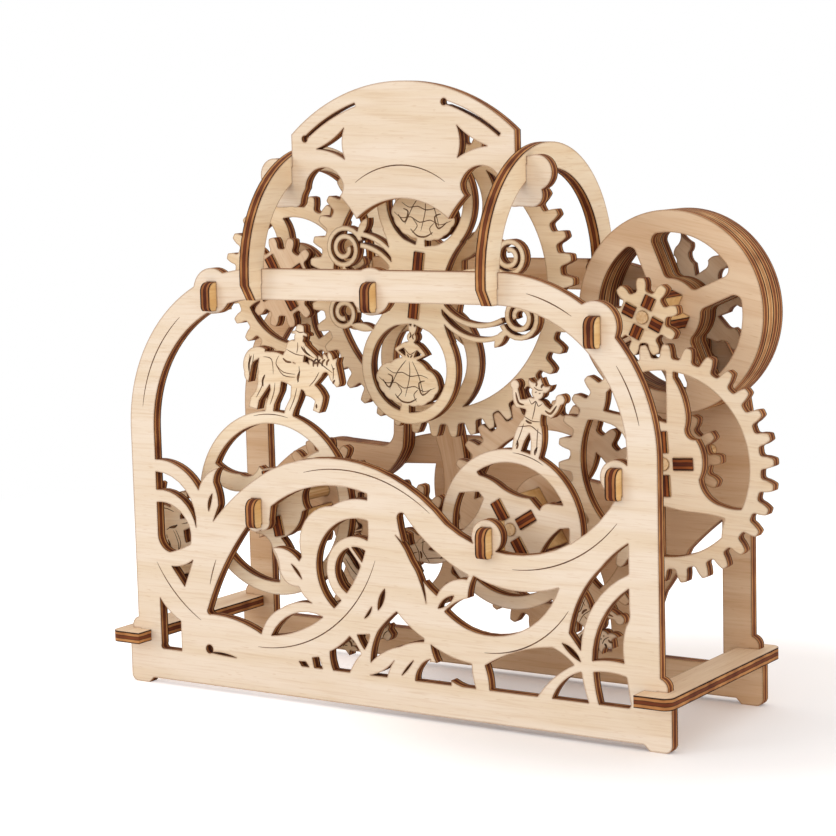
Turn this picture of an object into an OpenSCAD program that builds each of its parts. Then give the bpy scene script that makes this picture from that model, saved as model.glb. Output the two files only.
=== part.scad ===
// Mechanical theatre cut from thin birch plywood.
// Two scrolled panels carry six round axles. A heavy flywheel at the upper right drives the
// gear train that turns two figure wheels below and the dancers' rotor in the middle.
// X runs left to right, Y from the front panel to the back panel, Z up.

/* [Plywood] */
// Thickness of the frame plates
ply = 3; // [2.5:0.1:3.4]
// Thickness of the plates that gears and wheels are cut from
wheel_ply = 3; // [2.5:0.1:3.2]
// Clear space between the front and the back panel
panel_gap = 48; // [47:0.5:56]
// Clearance of slots and lap joints between plates
joint_gap = 0.1; // [0.05:0.05:0.2]

/* [Panels] */
// Width of the panels at the base
base_w = 165; // [163:0.5:170]
// Height of the feet under the base rail
foot_h = 1.5; // [1:0.1:2.5]
// Width of each foot
foot_w = 6; // [4:0.5:8]
// Height of the top edge of the base rail
rail_top = 9.9; // [9.5:0.1:10.5]
// Distance from the middle to the outer edge of a post
post_x = 79.5; // [79:0.1:80]
// Width of a post
post_w = 8; // [7:0.1:8.5]
// Height of the centres that the shoulders are struck from
shoulder_z = 70; // [69:0.5:71]

/* [Ledges] */
// Height of the top face of the side ledges
ledge_top = 14.8; // [14:0.1:16]
// Width of the side ledges
ledge_w = 9.6; // [8.5:0.1:11]
// Reach of the ledges in front of the front panel
ledge_reach = 5.5; // [4:0.1:8]

/* [Arches] */
// Distance from the middle to the centre plane of an arch
arch_x = 35.4; // [34.8:0.1:36]
// How far the centre of the arches lies below the top of the crossbars
arch_drop = 1.5; // [0.5:0.5:2.5]
// How far the arches stand out beyond the outer faces of both panels
arch_reach = 5.3; // [5:0.1:6]
// Width of the arch bands
arch_w = 6.5; // [5.5:0.1:7]

/* [Title sign] */
// Distance from the front face of the front panel to the front of the sign
sign_y = 15; // [13:0.5:16]
// Outer radius of the sign's top edge
sign_r = 50.6; // [50:0.1:51.5]
// How far the centre of the top edge lies below the centre of the arches
sign_drop = 2.2; // [1.5:0.1:3]

/* [Gears] */
// Tooth module shared by all gears
gear_m = 1.86; // [1.8:0.01:1.88]
// Pressure angle of the teeth
gear_angle = 17; // [16:0.5:19]
// Play between meshed flanks
backlash = 0.35; // [0.3:0.05:0.5]
// Teeth of the flywheel pinion
flywheel_teeth = 9; // [8:1:10]
// Teeth of the drive gear beside the right post
drive_teeth = 30; // [29:1:31]
// Teeth of the drive pinion
drive_pinion_teeth = 12; // [11:1:13]
// Teeth of the gear behind the right figure wheel
right_teeth = 31; // [30:1:32]
// Teeth of the idler between the figure wheels
idler_teeth = 18; // [17:1:19]
// Teeth of the gear behind the left figure wheel
left_teeth = 14; // [13:1:15]
// Teeth of the ring gear behind the rotor
ring_teeth = 42; // [41:1:43]
// Teeth of the pinion on the side gear's axle
side_pinion_teeth = 12; // [11:1:13]
// Teeth of the side gear at the upper left
side_teeth = 24; // [24:1:26]

/* [Axles] */
// Diameter of the round axles
axle_d = 3; // [2.6:0.1:3.2]
// Radial running clearance of the wheels on the axles
run_gap = 0.08; // [0.04:0.01:0.1]
// Place of the drive axle to the right of the middle
drive_x = 68.5; // [68:0.1:69]
// Height of the drive axle
drive_z = 65.3; // [65:0.1:65.6]
// Height of the rotor axle
rotor_z = 108.2; // [107.8:0.1:108.6]
// Place of the left figure wheel's axle to the left of the middle
left_wheel_x = 38; // [37.5:0.1:38.5]
// Height of the left figure wheel's axle
left_wheel_z = 51; // [50.5:0.1:51.5]
// Direction from the drive axle to the flywheel axle
flywheel_angle = 98.2; // [97.5:0.1:99]
// Direction from the rotor axle to the side gear's axle
side_angle = 180.8; // [180:0.1:181.5]

/* [Wheels] */
// Radius of the flywheel
flywheel_r = 25.6; // [25:0.1:25.8]
// Width of the flywheel's rim
flywheel_rim = 5.6; // [4.5:0.1:6.5]
// Radius of the flame wheel's hub
flame_hub_r = 9; // [8:0.1:10]
// Radius of the right figure wheel
right_disc_r = 20.3; // [20:0.1:20.6]
// Radius of the left figure wheel
left_disc_r = 24.6; // [24.2:0.1:25]
// Width of the figure wheels' rims
disc_rim = 3.4; // [3:0.1:4]
// Distance from the rotor's axle to the centre of each of its rings
rotor_ring_x = 21.7; // [21:0.1:22]
// Outer radius of the rotor's rings
rotor_ring_r = 14.6; // [14:0.1:15]
// Width of the rotor's rings
rotor_ring_w = 3; // [2.6:0.1:3.4]
// Distance from a wheel's axis to the centres of its pegs
peg_r = 5.4; // [5.2:0.1:5.8]
// Width of the square pegs
peg_w = 3; // [2.5:0.1:3.2]

/* [Hidden] */
$fn = 96;

// Through cuts overshoot the plate by this much
cut = 1;
birch = "#E9CFA6";
gear_birch = "#DDB98A";
axle_birch = "#C99B63";

// Thickness of the flame wheel and of the rim round it, and their distance from the back panel
flame_t = 2.4;
tail_gap = 0.8;
// Depths of the front face of each layer
back_y = ply + panel_gap;
frame_d = back_y + ply;
arch_r = frame_d / 2 + arch_reach;
left_disc_y = ply + 4.5;
right_disc_y = left_disc_y + wheel_ply + 1;
rotor_y = ply + 18;
drive_y = rotor_y + wheel_ply + 0.5;
train_y = drive_y + wheel_ply + 3.5;
side_y = train_y + wheel_ply + 3;
flywheel_y = back_y - 3 * wheel_ply - flame_t - tail_gap;
flame_y = flywheel_y + 3 * wheel_ply;

// Pitch radii and tooth proportions
function pitch_r(teeth) = gear_m * teeth / 2;
function tip_r(teeth) = pitch_r(teeth) + (teeth < 15 ? 0.7 : 0.86) * gear_m;
function root_r(teeth) = pitch_r(teeth) - (teeth < 15 ? 1.1 : 1) * gear_m;

// The point at distance ra from a and rb from b, on the left of the way from a to b
function meet(a, ra, b, rb) =
    let (d = norm(b - a), u = (b - a) / d, t = (ra * ra - rb * rb + d * d) / (2 * d))
    let (h = sqrt(max(0, ra * ra - t * t)))
    a + t * u + h * [-u[1], u[0]];

// Axle places in the plane of the panels, each mesh at its exact centre distance
drive_at = [drive_x, drive_z];
rotor_at = [0, rotor_z];
fly_at = drive_at + (pitch_r(flywheel_teeth) + pitch_r(drive_teeth))
    * [cos(flywheel_angle), sin(flywheel_angle)];
right_at = meet(drive_at, pitch_r(drive_pinion_teeth) + pitch_r(right_teeth),
    rotor_at, pitch_r(ring_teeth) + pitch_r(right_teeth));
side_at = rotor_at + (pitch_r(ring_teeth) + pitch_r(side_pinion_teeth))
    * [cos(side_angle), sin(side_angle)];
left_at = [-left_wheel_x, left_wheel_z];
idler_at = meet(right_at, pitch_r(right_teeth) + pitch_r(idler_teeth),
    left_at, pitch_r(left_teeth) + pitch_r(idler_teeth));
AXLES = [fly_at, drive_at, right_at, left_at, rotor_at, side_at, idler_at];

// Angle of the way from point a to point b
function heading(a, b) = atan2(b[1] - a[1], b[0] - a[0]);
// Turn of a gear at b that puts a gap where a tooth of its partner at a points,
// when the partner has n_a teeth and stands at turn_a
function mesh_turn(a, n_a, turn_a, b, n_b) =
    let (h = heading(a, b), phase = (h - turn_a) * n_a / 360)
    h + 180 + (phase + 0.5) * 360 / n_b;

drive_turn = 4;
fly_turn = mesh_turn(drive_at, drive_teeth, drive_turn, fly_at, flywheel_teeth);
right_turn = mesh_turn(drive_at, drive_pinion_teeth, drive_turn, right_at, right_teeth);
ring_turn = mesh_turn(right_at, right_teeth, right_turn, rotor_at, ring_teeth);
side_turn = mesh_turn(rotor_at, ring_teeth, ring_turn, side_at, side_pinion_teeth);
idler_turn = mesh_turn(right_at, right_teeth, right_turn, idler_at, idler_teeth);
left_turn = mesh_turn(idler_at, idler_teeth, idler_turn, left_at, left_teeth);

// Slots of the pegs are this much wider than the pegs on each side
slot_gap = 0.05;
// Axles sit in the back panel and the washers with this much room
seat_gap = 0.02;
peg_len = 5.2;
fly_peg_r = 4.0;
left_peg_r = 6.2;
rotor_peg_r = 6;
peg_proud = 0.4;
axle_proud = 0.4;
rotor_hub_r = 9.6;
fly_hub_r = 8.6;
fly_spoke_w = 5;
window_round = 2;
figure_hub_r = 8.4;
drive_rim = 3;
ring_rim = 4.2;
flame_count = 9;
boss_r = 6;
small_boss_r = 4.3;
strut_w = 8;
washer_d = 8;
washer_t = 1.5;

// The frame: shoulders, crossbar, feet, ledges and clips
shoulder_r = 43.5;
crossbar_top = shoulder_z + shoulder_r;
arch_z = crossbar_top - arch_drop;
foot_round = 2;
bump = 2;
ledge_seat = 4.3;
ledge_lap = 0.9;
ledge_x = post_x - ledge_seat;
ledge_lap_x = post_x - ledge_lap;
ledge_tail = 3.4;
corner = 2.5;
heel = 4.3;
sign_lap = 27;
slot_in = 3.2;
slot_w = 0.9;
slot_from = 51;
slot_to = 73.4;
clip_h = 6.6;
clip_drop = 1;
clip_reach = 3;
clip_tail = 6.4;

// Directions of pegs, spokes and figures round their wheels
FLY_PEGS = [65, 155, 245, 335];
FLY_SPOKES = [23, 113, 203, 293];
DRIVE_PEGS = [3, 93, 183, 273];
RIGHT_PEGS = [31, 121, 211, 301];
LEFT_PEGS = [102, 282];
SIDE_PEGS = [30, 120, 210, 300];
ROTOR_PEGS = [81.9, 261.9];
ROTOR_TILT = -98.1;
// Centres of the roses beside the rotor's hub
RIGHT_ROSES = [[3, 31.4], [-11.7, 26.4]];
LEFT_ROSES = [[6.1, 23.4], [-10.7, 21.7]];
LEFT_SPOKES = [32, 152, 272];
LEFT_FIGURES = 78;
RIGHT_FIGURES = 76;
middle_x = (drive_x + tip_r(drive_teeth) - ledge_x - ledge_w) / 2;
middle_y = (frame_d / 2 + arch_r - ledge_reach) / 2;
AXLES_IN_FRONT = [fly_at, drive_at, right_at, left_at, rotor_at, side_at];

// Points of the edge from p towards q, which bows by s to the right of its way
function bow(p, q, s, n) =
    let (d = q - p, c = norm(d), u = d / c, w = [u[1], -u[0]])
    s == 0 ? [p] :
    let (h = 2 * atan(2 * abs(s) / c), r = c / (2 * sin(h)))
    [for (i = [0:n - 1]) let (a = h * (2 * i / n - 1))
        (p + q) / 2 + r * sin(a) * u + sign(s) * r * (cos(a) - cos(h)) * w];

// Closed outline, anticlockwise, of corners [x, z, s]: s is the outward bow of the next edge
module outline(corners, n = 8) {
    last = len(corners) - 1;
    polygon([for (i = [0:last])
        let (a = corners[i], b = corners[i == last ? 0 : i + 1])
        each bow([a[0], a[1]], [b[0], b[1]], a[2], n)]);
}

// Pointed oval from p to q that bows by s on its right and by t on its left
module lens(p, q, s, t) {
    outline([[p[0], p[1], s], [q[0], q[1], t]]);
}

// Wedge of the plane from angle a0 to angle a1
module wedge(r, a0, a1) {
    polygon([[0, 0], for (i = [0:6]) 1.2 * r * [cos(a0 + (a1 - a0) * i / 6), sin(a0 + (a1 - a0) * i / 6)]]);
}

// Ring or, between two angles, a band of it
module ring(at, r, w, a0 = 0, a1 = 360) {
    translate(at)
        intersection() {
            difference() {
                circle(r);
                circle(r - w);
            }
            if (a1 - a0 < 360) wedge(r, a0, a1);
        }
}

// Curved band of radius r and width w from a to b, struck from the left of the way
module link(a, b, r, w) {
    at = meet(a, r, b, r);
    from = heading(at, a);
    turn = (heading(at, b) - from + 720) % 360;
    ring(at, r + w / 2, w, from, from + turn);
}

// Plate standing in the XZ plane with its front face at y
module plate(y, t = ply) {
    translate([0, y + t, 0])
        rotate([90, 0, 0])
            linear_extrude(t)
                children();
}

// Round bar along Y
module bar(at, d, y0, y1) {
    translate([at[0], y1, at[1]])
        rotate([90, 0, 0])
            cylinder(h = y1 - y0, d = d);
}

// Involute of a pressure angle, in degrees
function inv(a) = tan(a) * 180 / PI - a;
// Half the angle that a tooth takes at radius r
function half_tooth(teeth, r) =
    let (rp = pitch_r(teeth), rb = rp * cos(gear_angle), at = max(r, rb))
    90 / teeth - backlash / 4 / rp * 180 / PI + inv(gear_angle) - inv(acos(rb / at));
// Corners of one flank of a tooth, from the root to the rounded tip
function flank(teeth) =
    let (root = root_r(teeth), tip = tip_r(teeth), low = root + 0.3 * gear_m, high = tip - 0.2 * gear_m)
    let (gap = 180 / teeth, foot = half_tooth(teeth, low), crest = half_tooth(teeth, high))
    [[root, gap - 0.45 * (gap - foot)], [root + 0.08 * gear_m, gap - 0.8 * (gap - foot)], [low, foot],
        for (f = [0.4, 0.75]) [low + f * (high - low), half_tooth(teeth, low + f * (high - low))],
        [high, crest], [tip - 0.05 * gear_m, 0.8 * crest], [tip, 0.45 * crest]];

// Toothed disc with a tooth at angle turn
module toothed(teeth, turn) {
    side = flank(teeth);
    n = len(side);
    polygon([for (k = [0:teeth - 1], i = [0:2 * n - 1])
        let (p = i < n ? side[i] : side[2 * n - 1 - i])
        let (a = turn + k * 360 / teeth + (i < n ? -p[1] : p[1]))
        p[0] * [cos(a), sin(a)]]);
}

// Pegs round a wheel's axis, as outlines; grow widens them into their slots
module peg_outlines(angles, r, length, grow) {
    for (a = angles)
        rotate(a)
            translate([r, 0])
                square([length + 2 * grow, peg_w + 2 * grow], center = true);
}

// Pegs from depth y0 to y1 round the axis at
module pegs(at, angles, r, length, y0, y1) {
    plate(y0, y1 - y0)
        translate(at)
            peg_outlines(angles, r, length, 0);
}

// Wheel plate with the bore for its axle and the slots for its pegs
module wheel(at, y, angles, r, length, t = wheel_ply) {
    plate(y, t)
        translate(at)
            difference() {
                children();
                circle(axle_d / 2 + run_gap);
                peg_outlines(angles, r, length, slot_gap);
            }
}

// The frame outline shared by both panels, without scrollwork
module panel_frame() {
    half = base_w / 2;
    // base rail
    translate([-half, foot_h])
        square([base_w, rail_top - foot_h]);
    for (s = [-1, 1]) {
        // foot with its rounded outer corner
        outline(s > 0
            ? [[half - foot_w - foot_h, foot_h + cut, 0], [half - foot_w - foot_h, foot_h, 0],
                [half - foot_w, 0, 0], [half - foot_round, 0, 0.3 * foot_round],
                [half, foot_round, 0], [half, foot_h + cut + foot_round, 0]]
            : [[-half, foot_h + cut + foot_round, 0], [-half, foot_round, 0.3 * foot_round],
                [-half + foot_round, 0, 0], [-half + foot_w, 0, 0],
                [-half + foot_w + foot_h, foot_h, 0], [-half + foot_w + foot_h, foot_h + cut, 0]]);
        // post
        translate([s > 0 ? post_x - post_w : -post_x, rail_top - cut])
            square([post_w, shoulder_z - rail_top + 2 * cut]);
        // heel of the post below the ledge, as wide as the base
        translate([s > 0 ? post_x - post_w : -half, rail_top - cut])
            square([half - post_x + post_w, ledge_top - ply - rail_top + cut]);
        // bump of the post above the ledge
        outline(s > 0
            ? [[post_x - cut, ledge_top, 0], [post_x + bump, ledge_top, 0],
                [post_x + bump, ledge_top + 1.2, 0.4], [post_x, ledge_top + 3.2, 0],
                [post_x - cut, ledge_top + 3.2, 0]]
            : [[-post_x + cut, ledge_top, 0], [-post_x + cut, ledge_top + 3.2, 0],
                [-post_x, ledge_top + 3.2, 0.4], [-post_x - bump, ledge_top + 1.2, 0],
                [-post_x - bump, ledge_top, 0]]);
    }
    // rounded shoulders and the crossbar between them
    ring([post_x - shoulder_r, shoulder_z], shoulder_r, post_w, 0, 90);
    ring([shoulder_r - post_x, shoulder_z], shoulder_r, post_w, 90, 180);
    translate([shoulder_r - post_x - cut, crossbar_top - post_w])
        square([2 * (post_x - shoulder_r + cut), post_w]);
    // bosses of the three upper axles
    for (at = [fly_at, rotor_at, side_at])
        translate(at)
            circle(boss_r);
}

// Cuts in both panels: laps for the arches and the ledges
module panel_laps() {
    for (s = [-1, 1]) {
        translate([s * arch_x - ply / 2 - joint_gap, crossbar_top - post_w / 2])
            square([ply + 2 * joint_gap, post_w]);
        translate([s > 0 ? ledge_lap_x : -ledge_lap_x - post_w, ledge_top - ply - joint_gap])
            square([post_w, ply + joint_gap]);
    }
}

// Filled scrollwork below the stage, before its openings are cut
module scroll_field() {
    outline([
        [-post_x + 1, rail_top - cut, 0], [post_x - 1, rail_top - cut, 0], [post_x - 1, 66, 0],
        [69.3, 61.9, -11.2], [20.3, 50.7, 8.6], [-33, 61.3, 1.2], [-52.6, 46.2, 0],
        [-50.6, 50.6, 0.4], [-52, 56.6, -0.5], [-50, 60.8, 1.3], [-57.1, 54.3, 2.3],
        [-post_x + post_w, 61.8, 0], [-post_x + 1, 61.8, 0]
    ], 12);
    translate(right_at)
        circle(small_boss_r);
    translate(drive_at)
        circle(small_boss_r);
}

// Openings between the stems at the left
module left_openings() {
    inner = -post_x + post_w;
    // between the two arcs that spring from the post
    outline([[inner, 53.6, -3.2], [-58.3, 44, 4.4], [inner, 58.5, 0]]);
    outline([[inner, 50.2, 0], [inner, 41, 1], [-67.6, 36.8, 0.2], [-60.5, 39.5, 0.3], [-60.6, 44, 2.2]]);
    outline([[-67.3, 33, 0], [-63, 27.7, 0], [-59.8, 35.3, -0.7]]);
    outline([[inner - 0.2, 24, 0], [inner - 0.2, 11.2, 0.5], [-70.9, rail_top, 0], [-64.8, rail_top, 0],
        [-64.8, 18.1, -0.6]]);
    // drop cut in the rail
    translate([-55.3, 11.4])
        circle(1.2);
    lens([-55.6, 10.5], [-46.2, rail_top], 0.1, 0.6);
    // slit of the upper leaf
    lens([-53.9, 48.8], [-52.4, 53.8], 0.2, 0.8);
    // great opening behind the wave, around the leaf that grows from the spiral
    difference() {
        outline([
            [-54.2, 21, -1], [-37.8, 17.2, -1.2], [-31, 24.8, -0.9], [-21, 27, -3.2], [-23.9, 39, -4.4],
            [-14, 53, -1], [-2.9, 55.2, 0], [-2.9, 56.9, 3.6], [-33.3, 51.6, 0], [-33.9, 48, -1.2],
            [-37, 45, -1], [-41.2, 46, 1.2], [-55.4, 22.4, 0.8]
        ], 10);
        outline([[-33.4, 40.6, -0.6], [-31.2, 35.4, 1.2], [-26.5, 31, 0], [-20, 31, 0], [-21, 36, 0],
            [-24.2, 37, 1.6]]);
    }
    lens([-27.4, 36.9], [-24, 33], 0.2, 0.6);
    // eye of the leaf on the lower stem
    lens([-34.6, 17.1], [-17.7, 23.7], 1.2, 3.4);
}

// Openings of the spiral rose, cut where the crossing band and the lower stem leave room
module rose_openings() {
    intersection() {
        difference() {
            union() {
                ring([-5.9, 36.9], 13.4, 4.2 + 4);
                translate([-6.9, 36.4])
                    circle(9.2);
            }
            ring([-6.9, 36.4], 9.2, 2.7);
            // stamen across the eye
            translate([-6.4, 40])
                rotate(-50)
                    square([9, 0.9], center = true);
        }
        translate([-38, 53])
            circle(35.8);
        translate([-30, 20])
            square([27.1, 40]);
    }
}

// Openings in the middle, between the rail and the crossing stems
module middle_openings() {
    lens([-0.5, 27], [1.8, 32.9], 0.8, 0.8);
    lens([-4.8, 24.5], [-2.3, 27.9], 0.6, 0.1);
    outline([[-25, rail_top, 0], [-22.6, rail_top, 0], [-23.6, 11.3, 0], [-25.9, 11.2, 0]]);
    outline([[-21, rail_top, 0], [-18.3, rail_top, 0], [-19.4, 13, 0], [-21.6, 12.6, 0]]);
    outline([[-15, rail_top, 0], [-9.8, rail_top, -0.3], [-6.1, 15.2, 0.3], [-9.5, 19.5, -0.4],
        [-15.9, 14.8, 0.3]]);
    outline([[-5, 16.4, 0.3], [-3.2, 20.6, 0], [-7.2, 20.1, 0.2]]);
    outline([[-3.2, 13.2, -0.8], [6, 18.3, -0.4], [13, 20.2, 0.5], [12.6, 21.4, -0.4], [5.2, 27.3, 0.2],
        [-0.6, 21.8, 0.6]]);
    outline([[-3.6, rail_top, 0], [1.8, rail_top, -0.3], [4.2, 14.6, -0.8]]);
    lens([6.2, 10.8], [10, 15.2], 0.3, 0.3);
    lens([11.6, 13.4], [15.2, 16], 0.5, 0.5);
    // half ring on the rail
    intersection() {
        ring([15.7, rail_top], 5.4, 5.3, 0, 180);
        translate([10, rail_top])
            square([12, 6]);
    }
    outline([[24.4, rail_top, 0], [28.3, rail_top, -0.3], [27.2, 16.1, -0.7], [15.2, 19.8, 2.2]]);
    // eyes between the stems that cross
    outline([[5.3, 47, -1.2], [14.2, 30, 2.4]]);
    outline([[6, 51.4, 2.4], [17.3, 32.4, -1.6], [26.4, 37.3, 0], [26.8, 38.4, -1.6], [8, 52.7, 0.6]]);
    lens([17.6, 29.2], [22.5, 32.9], 0.8, 0.9);
    outline([[19.5, 28.6, 0.3], [26, 24.8, 5.9], [52.5, 37.5, -2.3], [28.3, 38.4, 0.4],
        [26.5, 32.6, 0.6]], 12);
}

// Openings at the right, around the ring that meets the post
module right_openings() {
    inner = post_x - post_w;
    outline([[32.2, rail_top, 0], [45.9, rail_top, -0.9], [56.3, 18.9, 0.4], [50.3, 22.6, 1.2],
        [31, 16.1, -0.3]]);
    lens([53, 24], [58.2, 19.8], 0.5, 1);
    outline([[55, 26.6, 0], [58.2, 22.6, -3.4], [inner, 42.4, 0], [inner, 49.9, 0.4], [64, 43.4, 1.6]]);
    outline([[61.3, 20.4, -0.4], [70, 20.7, -0.6], [70.6, 29.8, 0.5], [inner, 34, 0], [inner, 39, 2.6]]);
    outline([[62.9, rail_top, 0], [71, rail_top, 0.4], [inner, 11.5, 0], [70.6, 17.4, 0.5],
        [61.6, 17.7, 0.2]]);
    outline([[50, rail_top, 0], [60.2, rail_top, -0.2], [58.3, 17.4, 1.3]]);
}

module front_panel() {
    color(birch)
        plate(0)
            difference() {
                union() {
                    panel_frame();
                    scroll_field();
                }
                panel_laps();
                left_openings();
                rose_openings();
                middle_openings();
                right_openings();
                for (at = AXLES_IN_FRONT)
                    translate([at[0], at[1] - clip_drop])
                        square([ply + 2 * joint_gap, clip_h + 2 * joint_gap], center = true);
            }
}

// Scrollwork of the back panel, with the bosses that hold the lower axles
module back_struts() {
    inner = post_x - post_w / 2;
    base = rail_top - cut;
    // wave that rises from the left post and leads to the right wheel's axle
    outline([
        [-inner, 39, 2.6], [-46, 53.6, 0.6], [-24, 56.6, 0], [-14.6, 57, 0.6], [-14.8, 46, 0],
        [-17.6, 36, 1.6],
        [-6, 31, 0.4], [12, 33, -1.2], [30, 40, 0], [40, 54, 0], [22, 57, -1.6], [0, 65, 0], [-17, 65, 0.4],
        [-30, 61.4, 0], [-50, 60.6, 1], [-64, 54, 0.8], [-inner, 47, 0]
    ]);
    // web round the drive axle, from the base rail to the right post
    outline([
        [39, base, 0], [49.4, base, -0.4], [54.6, 27, 0.3], [62, 39, -0.5], [inner, 50.4, 0], [inner, 79, 0],
        [66, 76.6, -0.4], [56, 75.6, 1.2], [48.6, 69.4, -1.2], [43, 57, 0], [28, 52, 0], [32, 40, -2.4]
    ]);
    link([-50, base], left_at, 70, strut_w);
    for (at = [right_at, left_at, drive_at, idler_at])
        translate(at)
            circle(boss_r);
}

module back_panel() {
    color(gear_birch)
        plate(back_y)
            difference() {
                union() {
                    panel_frame();
                    back_struts();
                }
                panel_laps();
                for (at = AXLES)
                    translate(at)
                        circle(axle_d / 2 + seat_gap);
            }
}

// Wave that runs from the left post to a curl, glued on the back panel in two plies
module wave_ply(y) {
    color(birch)
        plate(y)
            difference() {
                outline([
                    [post_w - post_x, 33, 0.8], [-60, 42, 0.8], [-50, 48.6, 0.4], [-43, 45.4, 1.2],
                    [-33, 45.6, -0.8],
                    [-31.4, 52, 0.3], [-25.6, 55.6, 0.4], [-21.4, 61.8, 0.2], [-20.9, 70.6, 0.7],
                    [-24, 71.2, 0],
                    [-24.2, 66, -1.1], [-28.2, 62, 0], [-42, 62.8, 0.3], [-48, 62.6, 0.9], [-61, 56.8, 0.6],
                    [post_w - post_x, 46, 0]
                ]);
                translate(left_at)
                    circle(axle_d / 2 + seat_gap);
            }
}

module wave_front_ply() { wave_ply(back_y - 2 * ply); }
module wave_rear_ply() { wave_ply(back_y - ply); }

// Curved strut glued on the back panel, round the idler's axle
module strut_ply() {
    color(birch)
        plate(back_y - ply)
            difference() {
                union() {
                    outline([
                        [-6.6, 38, 0.5], [-2.8, 48, 0.4], [-3.2, 57, 0.2], [-5.4, 70, 0.9], [-12.8, 70, 0],
                        [-12.5, 64, -0.3], [-10.4, 56, -0.4], [-11, 47, -0.4], [-16, 40, 0]
                    ]);
                    translate(idler_at)
                        circle(boss_r);
                }
                translate(idler_at)
                    circle(axle_d / 2 + seat_gap);
            }
}

// Ledge on the outside of the posts, lapped into both panels
module ledge(side) {
    depth = ledge_reach + frame_d + ledge_tail;
    translate([0, 0, ledge_top - ply])
        linear_extrude(ply)
            difference() {
                outline(side > 0
                    ? [[ledge_x, -ledge_reach, 0], [ledge_x + ledge_w - corner, -ledge_reach, 0.3 * corner],
                        [ledge_x + ledge_w, corner - ledge_reach, 0],
                        [ledge_x + ledge_w, depth - ledge_reach - corner, 0.3 * corner],
                        [ledge_x + ledge_w - corner, depth - ledge_reach, 0],
                        [ledge_x, depth - ledge_reach, 0]]
                    : [[-ledge_x, depth - ledge_reach, 0],
                        [corner - ledge_x - ledge_w, depth - ledge_reach, 0.3 * corner],
                        [-ledge_x - ledge_w, depth - ledge_reach - corner, 0],
                        [-ledge_x - ledge_w, corner - ledge_reach, 0.3 * corner],
                        [corner - ledge_x - ledge_w, -ledge_reach, 0], [-ledge_x, -ledge_reach, 0]]);
                for (y = [0, back_y])
                    translate([side > 0 ? ledge_x - cut : -ledge_lap_x - joint_gap, y - joint_gap])
                        square([ledge_lap_x + joint_gap - ledge_x + cut, ply + 2 * joint_gap]);
            }
}

module left_ledge() {
    color(birch)
        ledge(-1);
}

module right_ledge() {
    color(birch)
        ledge(1);
}

// Arch over the stage, standing in the YZ plane and lapped onto both crossbars
module arch(x) {
    foot = crossbar_top - post_w;
    lap = crossbar_top - post_w / 2;
    mid = frame_d / 2;
    translate([x - ply / 2, 0, 0])
        rotate([90, 0, 90])
            linear_extrude(ply)
                difference() {
                    translate([mid, 0])
                        outline([
                            [arch_r, lap, 0], [arch_r, arch_z, arch_r], [-arch_r, arch_z, 0],
                            [-arch_r, lap, 0],
                            [2.6 - arch_r, foot, 0], [heel - mid, foot, 0], [heel - mid, lap + 2, 0.8],
                            [arch_w - arch_r, arch_z, arch_w - arch_r], [arch_r - arch_w, arch_z, 0.8],
                            [mid - heel, lap + 2, 0], [mid - heel, foot, 0], [arch_r - 2.6, foot, 0]
                        ], 44);
                    for (y = [0, back_y])
                        translate([y - joint_gap, foot - cut])
                            square([ply + 2 * joint_gap, lap - foot + cut]);
                    // lap for the sign
                    translate([sign_y - joint_gap, arch_z])
                        square([ply + 2 * joint_gap, sign_lap + joint_gap]);
                }
}

module left_arch() {
    color(birch)
        arch(-arch_x);
}

module right_arch() {
    color(birch)
        arch(arch_x);
}

// Right half of the sign, mirrored for the left half, with its origin at the height of the arches' centre
module sign_half() {
    inner = arch_x - ply / 2 - joint_gap;
    outer = arch_x + ply / 2 + joint_gap;
    difference() {
        intersection() {
            union() {
                outline([
                    [0, 18.8, -1.3], [14, 13.6, -0.3], [19, 19.4, -0.4], [17.8, 22.5, -1.4],
                    [24.5, 26.8, -1.4],
                    [29.8, 21.4, -0.3], [31.4, 17.6, 0.5], [34, 16.7, 0], [38.5, 16.5, 0], [40, 29, 0],
                    [outer, 29, 0], [outer, sign_lap, 0], [inner, sign_lap, 0], [inner, 53, 0], [0, 53, 0]
                ]);
                translate([outer + 2.7, 25])
                    circle(4.4);
                translate([outer + 1.4, 19.5])
                    circle(3);
            }
            union() {
                translate([0, -sign_drop])
                    circle(sign_r);
                translate([inner, 8])
                    square([20, 24]);
            }
        }
        // the part of the lobes that would stand in the arch
        translate([inner, sign_lap])
            square([outer - inner, 20]);
        // curved slot along the top edge
        ring([0, -sign_drop], sign_r - slot_in, slot_w, slot_from, slot_to);
        // three-sided cut beside the shield
        outline([[17, 28.8, -0.6], [26, 31.6, -0.6], [17, 37, -0.9]]);
    }
}

module title_sign() {
    color(birch)
        plate(sign_y)
            translate([0, arch_z])
                difference() {
                    union() {
                        sign_half();
                        mirror([1, 0])
                            sign_half();
                    }
                    // round hole at the inner end of the right slot and at the outer end of the left one
                    for (a = [slot_to, 180 - slot_from])
                        translate([0, -sign_drop])
                            rotate(a)
                                translate([sign_r - slot_in - slot_w / 2, 0])
                                    circle(slot_w);
                }
}

// Hooked clips that pass through the front panel at each wheel
module axle_clips() {
    half = clip_h / 2;
    color(axle_birch)
        for (at = AXLES_IN_FRONT)
            translate([at[0] - ply / 2, 0, at[1] - clip_drop])
                rotate([90, 0, 90])
                    linear_extrude(ply)
                        outline([
                            [-clip_reach, -half + 0.6, 0.3], [-clip_reach + 1, -half - 0.9, 0],
                            [-0.2, -half - 0.9, 0], [-0.2, -half, 0], [ply + 0.1, -half, 0],
                            [ply + 0.1, -half - 1, 0], [clip_tail, -half - 1, 0],
                            [clip_tail, half + 1, 0], [ply + 0.1, half + 1, 0],
                            [ply + 0.1, half, 0], [-0.4, half, 0.7], [-clip_reach, half - 2.2, 0]
                        ]);
}

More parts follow.
